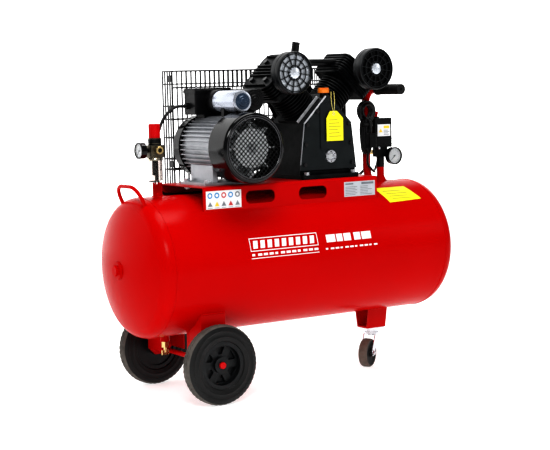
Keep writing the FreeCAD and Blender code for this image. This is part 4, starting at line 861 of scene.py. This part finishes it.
def caster_bolt():
    """The hexagon heads at both ends of the caster's axle."""
    head = [(7.5, 0), (7.5, 1.2), (6.5, 1.6), (6.2, 4.6), (5.0, 5.6), (0.6, 5.8)]
    fork_half = 18.6 * MM
    bolts = []
    for side in (-1, 1):
        outward = CASTER_AXIS * side
        bolts.append(lathe_mm(head, CASTER_AXLE + outward * fork_half, outward, 6))
    piece("caster_bolt", bolts, ZINC, "caster")


# ---- belt guard ----


def steps(low, high, pitch):
    count = round((high - low) / pitch)
    return [low + (high - low) * k / count for k in range(count + 1)]


WIRE_HALF, GUARD_BORDER, UPRIGHT_PITCH = 1.5, 45.0, 15.0
GUARD_LOW, GUARD_HIGH = corner("guard_front")
GUARD_X0 = (GUARD_LOW.x - TANK_X) / MM + WIRE_HALF
GUARD_X1 = (GUARD_HIGH.x - TANK_X) / MM - WIRE_HALF
GUARD_Z0, GUARD_Z1 = GUARD_LOW.z / MM + WIRE_HALF, GUARD_HIGH.z / MM - WIRE_HALF
GUARD_NEAR = GUARD_LOW.y / MM + WIRE_HALF
GUARD_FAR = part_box("guard_rear")[1][1] / MM - WIRE_HALF
GUARD_RAILS = [GUARD_Z0] + [z + WIRE_HALF for z in (593.0, 622.0, 680.0, 730.0, 766.0, 826.0)] + [GUARD_Z1]


def guard_wire(start, end, radius=1.8):
    return tube([at(*start), at(*end)], radius * MM, 6)


def guard_front_wires():
    """The guard's half that faces the operator: a wire border round an open middle."""
    x0, x1, z0, z1, near = GUARD_X0, GUARD_X1, GUARD_Z0, GUARD_Z1, GUARD_NEAR
    rail_y, frame_r = near + WIRE_HALF, 2.4
    inner_x0, inner_x1 = x0 + GUARD_BORDER, x1 - GUARD_BORDER
    inner_z0, inner_z1 = z0 + GUARD_BORDER, z1 - GUARD_BORDER
    wires = []
    for x in steps(x0, x1, UPRIGHT_PITCH):
        if x < inner_x0 or x > inner_x1:
            wires.append(guard_wire((x, near, z0), (x, near, z1)))
        else:
            wires.append(guard_wire((x, near, z0), (x, near, inner_z0)))
            wires.append(guard_wire((x, near, inner_z1), (x, near, z1)))
    for z in GUARD_RAILS:
        wires.append(guard_wire((x0, rail_y, z), (inner_x0, rail_y, z), 2.0))
        wires.append(guard_wire((inner_x1, rail_y, z), (x1, rail_y, z), 2.0))
    for z in (z0, z1, inner_z1, inner_z0):
        wires.append(guard_wire((x0, rail_y, z), (x1, rail_y, z), frame_r))
    for x in (x0, x1, inner_x0, inner_x1):
        wires.append(guard_wire((x, rail_y, z0), (x, rail_y, z1), frame_r))
    made = piece("guard_front_wires", wires, BLACK_WIRE, smooth=70)
    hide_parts("guard_front")


def guard_rear_wires():
    """The guard's deep half: its back, its two ends, its top and its bottom."""
    x0, x1, z0, z1, near, far = GUARD_X0, GUARD_X1, GUARD_Z0, GUARD_Z1, GUARD_NEAR, GUARD_FAR
    rail_y, rail_r = far - WIRE_HALF, 2.0
    wires = []
    for x in steps(x0, x1, UPRIGHT_PITCH):
        wires.append(guard_wire((x, far, z0), (x, far, z1)))
        wires.append(guard_wire((x, near + 2, z1), (x, far, z1)))
    for z in GUARD_RAILS:
        wires.append(guard_wire((x0, rail_y, z), (x1, rail_y, z), rail_r))
        for x in (x0, x1):
            wires.append(guard_wire((x, near, z), (x, far, z), rail_r))
    for x in (x0, x1):
        for y in steps(near, far, 13.0):
            wires.append(guard_wire((x, y, z0), (x, y, z1), rail_r))
    for z in (z0, z1):
        for y in steps(near, far, 26.0):
            wires.append(guard_wire((x0, y, z), (x1, y, z), rail_r))
    made = piece("guard_rear_wires", wires, BLACK_WIRE, smooth=70)
    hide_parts("guard_rear")


def guard_clips():
    """The flat clips that hold the guard's halves together, on its left end and its top."""
    low_y, high_y = GUARD_NEAR + 4, GUARD_NEAR + 24
    clips = []
    for z in (610, 760, 842):
        clips.append(block(at(GUARD_X0 - 2.4, low_y, z - 9), at(GUARD_X0 - 0.6, high_y, z + 9)))
    for x in (-160, 10, 180):
        clips.append(block(at(x - 10, low_y, GUARD_Z1 + 0.4), at(x + 10, high_y, GUARD_Z1 + 2.2)))
    piece("guard_clips", clips, BLACK_WIRE, bevel=0.6 * MM)


# ---- motor ----


def capacitor_piece(name, x, z, radius, front_y, back_y, case, face):
    """A capacitor: a can with a rolled shoulder, a stepped end and a moulded boss."""
    length = back_y - front_y
    can = [(radius - 5, 0.0), (radius - 1.5, 1.0), (radius, 4.0), (radius, length), (0.1, length)]
    body = lathe_mm([(0.1, 1.2)] + can, at(x, front_y, z), (0, 1, 0), 64)
    end = [
        (radius - 6, 1.1), (radius - 7, -0.6), (radius * 0.5, -1.0), (radius * 0.45, -2.6), (8, -3.0),
        (7, -4.0), (0.1, -4.0),
    ]
    cap = lathe_mm(end, at(x, front_y, z), (0, 1, 0), 48)
    made = [piece(f"{name}_can", [body], case), piece(f"{name}_end", [cap], face)]
    return made[0]


def capacitor_boot():
    """The rubber boot over the run capacitor's terminals."""
    boot = [(28.0, 0), (30.2, 0.6), (30.8, 2), (30.8, 34), (0.1, 34)]
    sleeve = lathe_mm(boot, at(-190, -11.5, 779), (0, 1, 0), 64)
    piece("capacitor_boot", [sleeve], BLACK_PLASTIC)


def capacitor_pieces():
    silver = capacitor_piece("run_capacitor", -190, 779, 28.5, -120, 22.5, CAP_CASE, CAP_FACE)
    black = capacitor_piece("start_capacitor", -131, 781, 29.5, -88, 22.5, BLACK_PLASTIC, BLACK_PLASTIC)
    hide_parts("capacitors")


def terminal_lid():
    """The terminal box's lid, with its chamfered rim and four screws."""
    x0, x1, y0, y1, z = -251.2, -133.8, 21.3, 84.2, 802.0
    rows = []
    for inset, height in ((0, 0), (0, 8), (3, 11.5), (6, 12.6)):
        left, right, near, far = x0 + inset, x1 - inset, y0 + inset, y1 - inset
        ring = [(left, near), (right, near), (right, far), (left, far)]
        rows.append([at(x, y, z + height) for x, y in ring])
    lid = piece("terminal_lid", [skin(rows, cap=True)], BLACK_PLASTIC, bevel=0.8 * MM)
    screws = [small_screw(x, y, z + 12.4, (0, 0, 1)) for x in (x0 + 11, x1 - 11) for y in (y0 + 11, y1 - 11)]
    heads = piece("terminal_screws", screws, ZINC)


def fan_plate():
    """The pale front plate of the fan, behind the lattice."""
    ring = [(20, 0), (52, 0), (52, 2), (20, 2)]
    plate = lathe_mm(ring, middle_of_face("motor_fan"), (0, -1, 0), 64, closed=True)
    piece("fan_plate", [plate], FAN_GREY, "rotor")


def fan_cover_rings():
    """The rolled rings of the fan cover's face, coloured lighter and more metallic than the black cover as a
    painted highlight.
    """
    centre = middle_of_face("fan_cover") + Vector((0, 0.6 * MM, 0))
    beads = []
    for radius, thickness in ((79.5, 1.5), (84.5, 1.0)):
        beads.append(tube(circle(centre, (0, 1, 0), radius * MM, 120), thickness * MM, 8, loop=True))
    made = piece("fan_cover_rings", beads, FAN_RING_SHEEN, smooth=80)


# ---- pump ----

PUMP_X, CRANK_Z = 107, 706
BANK_SHIFT = 12


def on_bank(low, high, side):
    """A block drawn upright over the crankshaft, in millimetres, put on the left (-1) or right (+1) bank."""
    tilt = Matrix.Rotation(math.radians(45 * side), 4, "Y")
    points, faces = block([c * MM for c in low], [c * MM for c in high])
    return [at(PUMP_X, BANK_SHIFT * side, CRANK_Z) + tilt @ point for point in points], faces


def head_ribs():
    """Cooling ribs across the outer face of each head, between its nuts."""
    ribs = []
    for side in (-1, 1):
        for x in (-54, -18, -6, 6, 18, 54):
            half_y = 50 if abs(x) > 40 else 60
            ribs.append(on_bank((x - 1.8, -half_y, 211.8), (x + 1.8, half_y, 218.5), side))
    piece("head_ribs", ribs, BLACK_CAST, bevel=1.0 * MM)


def bright_flanges():
    """Pale metal strips on the front edges of the cylinder flanges, a painted highlight along the edges."""
    rims = []
    for side in (-1, 1):
        inner, outer = (-52.6, 44.6) if side < 0 else (-44.6, 52.6)
        rims.append(on_bank((inner, -47.6, 61.8), (outer, -46.6, 70.2), side))
    # Painted highlights, in the pale highlight metal.
    piece("flange_highlights", rims, EDGE_HIGHLIGHT, bevel=0.5 * MM)


def cover_edge():
    """Painted light on the crankcase cover's bevel: a bright highlight strip on its upper left edge, where
    the light falls, and a duller sheen strip down its side.
    """
    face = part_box("crankcase_cover")[0][1] / MM + 2.9
    corners = ((-93.6, 600), (-79.0, 712), (-6, 785))
    foot, shoulder, apex = (at(PUMP_X + x, face, z) for x, z in corners)
    # A painted highlight on the lit upper edge.
    piece("cover_bevel_highlight", [tube([shoulder, apex], 2.2 * MM, 8)], EDGE_HIGHLIGHT)
    # A duller painted sheen down the side, in cast aluminium's colour.
    piece("cover_side_bevel_sheen", [tube([foot, shoulder], 1.5 * MM, 8)], ALUMINIUM)


def filter_grille(x, y, z):
    """Twelve vanes and three rings over the pleats."""
    parts = []
    for k in range(12):
        vane = block(at(x + 14, y + 1.6, z - 1.1), at(x + 52.8, y + 5.6, z + 1.1))
        parts.append(turned(vane, k * 30 + 8, (0, 1, 0), at(x, y, z)))
    for radius in (20, 36, 50):
        band = [(radius - 1.2, 1.8), (radius + 1.2, 1.8), (radius + 1.2, 5), (radius - 1.2, 5)]
        parts.append(lathe_mm(band, at(x, y, z), (0, 1, 0), 64, closed=True))
    return parts


def filter_piece(name, x, y, z, neck_r, pleat_finish):
    """A round intake filter: a beaded can, a recessed face with vanes and rings, and a hub."""
    can = [
        (53.0, 2.5), (53.5, 0.4), (55.5, 0.0), (57.0, 1.4), (57.5, 4), (57.5, 14), (56.3, 15), (56.3, 17),
        (57.5, 18), (57.5, 33), (54, 37.6), (20, 38), (20, 36), (52, 34), (53, 30),
    ]
    shell = lathe_mm(can, at(x, y, z), (0, 1, 0), 96, closed=True)
    neck = lathe_mm([(neck_r, 0), (neck_r, 50)], at(x, y + 37, z), (0, 1, 0), 40)
    back = lathe_mm([(53, 7), (53, 9), (0.1, 9)], at(x, y, z), (0, 1, 0), 64)
    body = piece(f"{name}_can", [shell, neck], FILTER_BLACK)
    pleats = piece(f"{name}_pleats", [back], pleat_finish)
    face = piece(f"{name}_grille", filter_grille(x, y, z), FILTER_BLACK, bevel=0.3 * MM)
    hub = lathe_mm(((16, 6), (15, 2), (11, 0.6), (0.1, 0.2)), at(x, y, z), (0, 1, 0), 40)
    cap = piece(f"{name}_hub", [hub], FILTER_SILVER)
    return body


def filters():
    left = filter_piece("left_filter", -26, -127, 850, 13, FILTER_SILVER)
    filter_piece("right_filter", 240, -136, 857, 20, BLACK_GLOSS)
    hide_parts("air_filters")


TAG_X = 121


def tag_string(y):
    """The string's two strands, which bow apart between the eyelet and the oil cap."""
    eyelet_z, rise, bow, count = 737, 60, 3, 12
    strands = []
    for spread in (-5.5, 3.5):
        outward = 1 if spread < 0 else -1
        line = []
        for k in range(count + 1):
            part = k / count
            x = TAG_X + (3 + spread) * part - bow * math.sin(math.pi * part) * outward
            line.append(at(x, y - 0.4 + 6.7 * part, eyelet_z + rise * part))
        strands.append(tube(line, 0.7 * MM, 6))
    return piece("tag_string", strands, STRING, "oil_tag", smooth=80)


def tag_pieces():
    """The card tag with plain lines, its eyelet and its string."""
    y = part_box("oil_tag")[0][1] / MM
    outline = [(97, 662), (153, 662), (153, 724), (133, 744), (109, 744), (97, 724)]
    rows = [[at(x, y + lift, z) for x, z in outline] for lift in (0, 1.2)]
    card = piece("tag_card", [skin(rows, cap=True)], YELLOW, "oil_tag", bevel=0.2 * MM)
    lines = []
    for k in range(6):
        z = 674 + 9 * k
        lines.append(plate_front(104, 146 - 6 * (k % 3), z, z + 1.6, y - 0.02, 0.12))
    ink = piece("tag_lines", lines, OLIVE_INK, "oil_tag")
    eyelet_ring = tube(circle(at(TAG_X, y - 0.1, 736), (0, 1, 0), 3.6 * MM, 32), 0.8 * MM, 8, loop=True)
    eyelet = piece("tag_eyelet", [eyelet_ring], ZINC, "oil_tag")
    string = tag_string(y)
    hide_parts("oil_tag")


def sight_disc():
    """The clear disc in the oil window, over a bright reflector, and the bezel's screws."""
    spot = middle_of_face("sight_glass")
    back = lathe_mm([(9.9, 5.5), (9.9, 5.0), (0.1, 5.0)], spot, (0, 1, 0), 40)
    glass = lathe_mm([(9.8, 3.0), (9.6, 1.2), (5, 0.6), (0.1, 0.5)], spot, (0, 1, 0), 40)
    bolts = []
    for k in range(6):
        turn = math.radians(60 * k + 30)
        place = spot + Vector((math.cos(turn), 0, math.sin(turn))) * 13.5 * MM
        bolts.append(lathe_mm([(1.6, 0), (1.6, 0.8), (0.6, 1)], place, (0, -1, 0), 12))
    reflector = piece("sight_reflector", [back], WHITE)
    lens = piece("sight_lens", [glass], GLASS)
    screws = piece("sight_screws", bolts, DARK)


# ---- gauges and regulator ----


def dial_ticks(centre, outward, radius):
    """The scale's marks, every third one long, from lower left round to lower right."""
    upright = Vector((0, 0, 1))
    right = upright.cross(-outward).normalized()
    face = centre - outward * 4.5 * MM
    ticks = []
    for k in range(28):
        turn = math.radians(225 - k * 10)
        direction = right * math.cos(turn) + upright * math.sin(turn)
        inner, wide = (0.60, 0.35) if k % 3 == 0 else (0.70, 0.2)
        base, tip = face + direction * radius * inner, face + direction * radius * 0.80
        half = direction.cross(outward) * wide * MM
        ticks.append(([base - half, base + half, tip + half, tip - half], [(0, 1, 2, 3)]))
    return ticks


def gauge_face(name, centre, outward, radius):
    """A white dial with ticks, a bezel and a glass, facing outwards."""
    outward = Vector(outward)
    dial_profile = [(radius - 2.6, -4.9), (radius - 2.6, -4.6), (0.1, -4.6)]
    dial = lathe_mm(dial_profile, centre, outward, 64)
    bezel_profile = [
        (radius - 2.4, -4.5), (radius - 2.0, 0.2), (radius - 0.8, 0.9), (radius + 0.4, 0.2),
        (radius + 0.5, -3), (radius, -4),
    ]
    bezel = lathe_mm(bezel_profile, centre, outward, 64, closed=True)
    lens_profile = [(radius - 2.4, -1.2), (radius - 2.4, -0.8), (radius * 0.5, -0.5), (0.1, -0.4)]
    lens = lathe_mm(lens_profile, centre, outward, 64)
    ticks = dial_ticks(centre, outward, radius * MM)
    made = [
        piece(f"{name}_dial", [dial], WHITE), piece(f"{name}_ticks", ticks, GREY_INK),
        piece(f"{name}_bezel", [bezel], BLACK_GLOSS), piece(f"{name}_lens", [lens], GLASS),
    ]


def gauge_faces():
    gauge_face("tank_gauge", at(389, -22, 606), (0, -1, 0), 25)
    gauge_face("outlet_gauge", at(-455, -30, 659), (-1, 0, 0), 21)


REGULATOR_X, REGULATOR_Y = -406, -30


def regulator_ring(name, profile, place, axis, sides, material):
    part = lathe_mm(profile, at(*place), axis, sides, closed=True)
    piece(name, [part], material)


def regulator_details():
    """The black bonnet, the collar of the bowl, the outlet's ring and the filter element in the bowl."""
    upwards, to_operator = (0, 0, 1), (0, -1, 0)
    bonnet = [
        (17.3, 0), (17.3, 3), (16.6, 3.4), (16.6, 5), (17.3, 5.4), (17.3, 15), (15.6, 17.4), (8.4, 17.6),
        (8.4, 0),
    ]
    bonnet_place = (REGULATOR_X, REGULATOR_Y, 672.2)
    regulator_ring("regulator_bonnet", bonnet, bonnet_place, upwards, 48, BLACK_PLASTIC)
    collar = [(20.3, 0), (20.3, 6), (19.4, 7.4), (18, 7.4), (18, 0)]
    regulator_ring("bowl_collar", collar, (REGULATOR_X, REGULATOR_Y, 632.4), upwards, 48, NICKEL)
    port = [(10.3, 0), (10.3, 3.2), (9.6, 4), (6.2, 4), (6.2, 0)]
    regulator_ring("outlet_ring", port, (REGULATOR_X, -54.2, 659), to_operator, 32, BRASS)
    element = [(0.1, 0), (8.2, 0), (8.2, 42), (6, 43), (0.1, 43)]
    element_part = lathe_mm(element, at(REGULATOR_X, REGULATOR_Y, 594), upwards, 32)
    piece("filter_element", [element_part], DARK)


def grip_ribs():
    """Rings moulded on the push handle's grip."""
    low, high = corner("handle_grip")
    x, z = (low.x + high.x) / 2, (low.z + high.z) / 2
    count, first, pitch = 9, 16, 9.5
    ribs = []
    for k in range(count):
        y = high.y - (first + pitch * k) * MM
        ribs.append(tube(circle((x, y, z), (0, 1, 0), 14.4 * MM, 48), 0.7 * MM, 6, loop=True))
    made = piece("grip_ribs", ribs, RUBBER, smooth=80)


finish_frame()
place_camera()
studio()
mains_cord()
hank_tie()
strain_relief()
riser_sleeve()
tank_marks()
tank_welds()
deck_labels()
switch_details()
tyre_piece("front_tyre", "front_wheel")
tyre_piece("rear_tyre", "rear_wheel")
wheel_backs()
caster_wheel_piece()
caster_bolt()
guard_front_wires()
guard_rear_wires()
guard_clips()
capacitor_pieces()
capacitor_boot()
terminal_lid()
fan_plate()
fan_cover_rings()
head_ribs()
bright_flanges()
cover_edge()
filters()
tag_pieces()
sight_disc()
gauge_faces()
regulator_details()
grip_ribs()
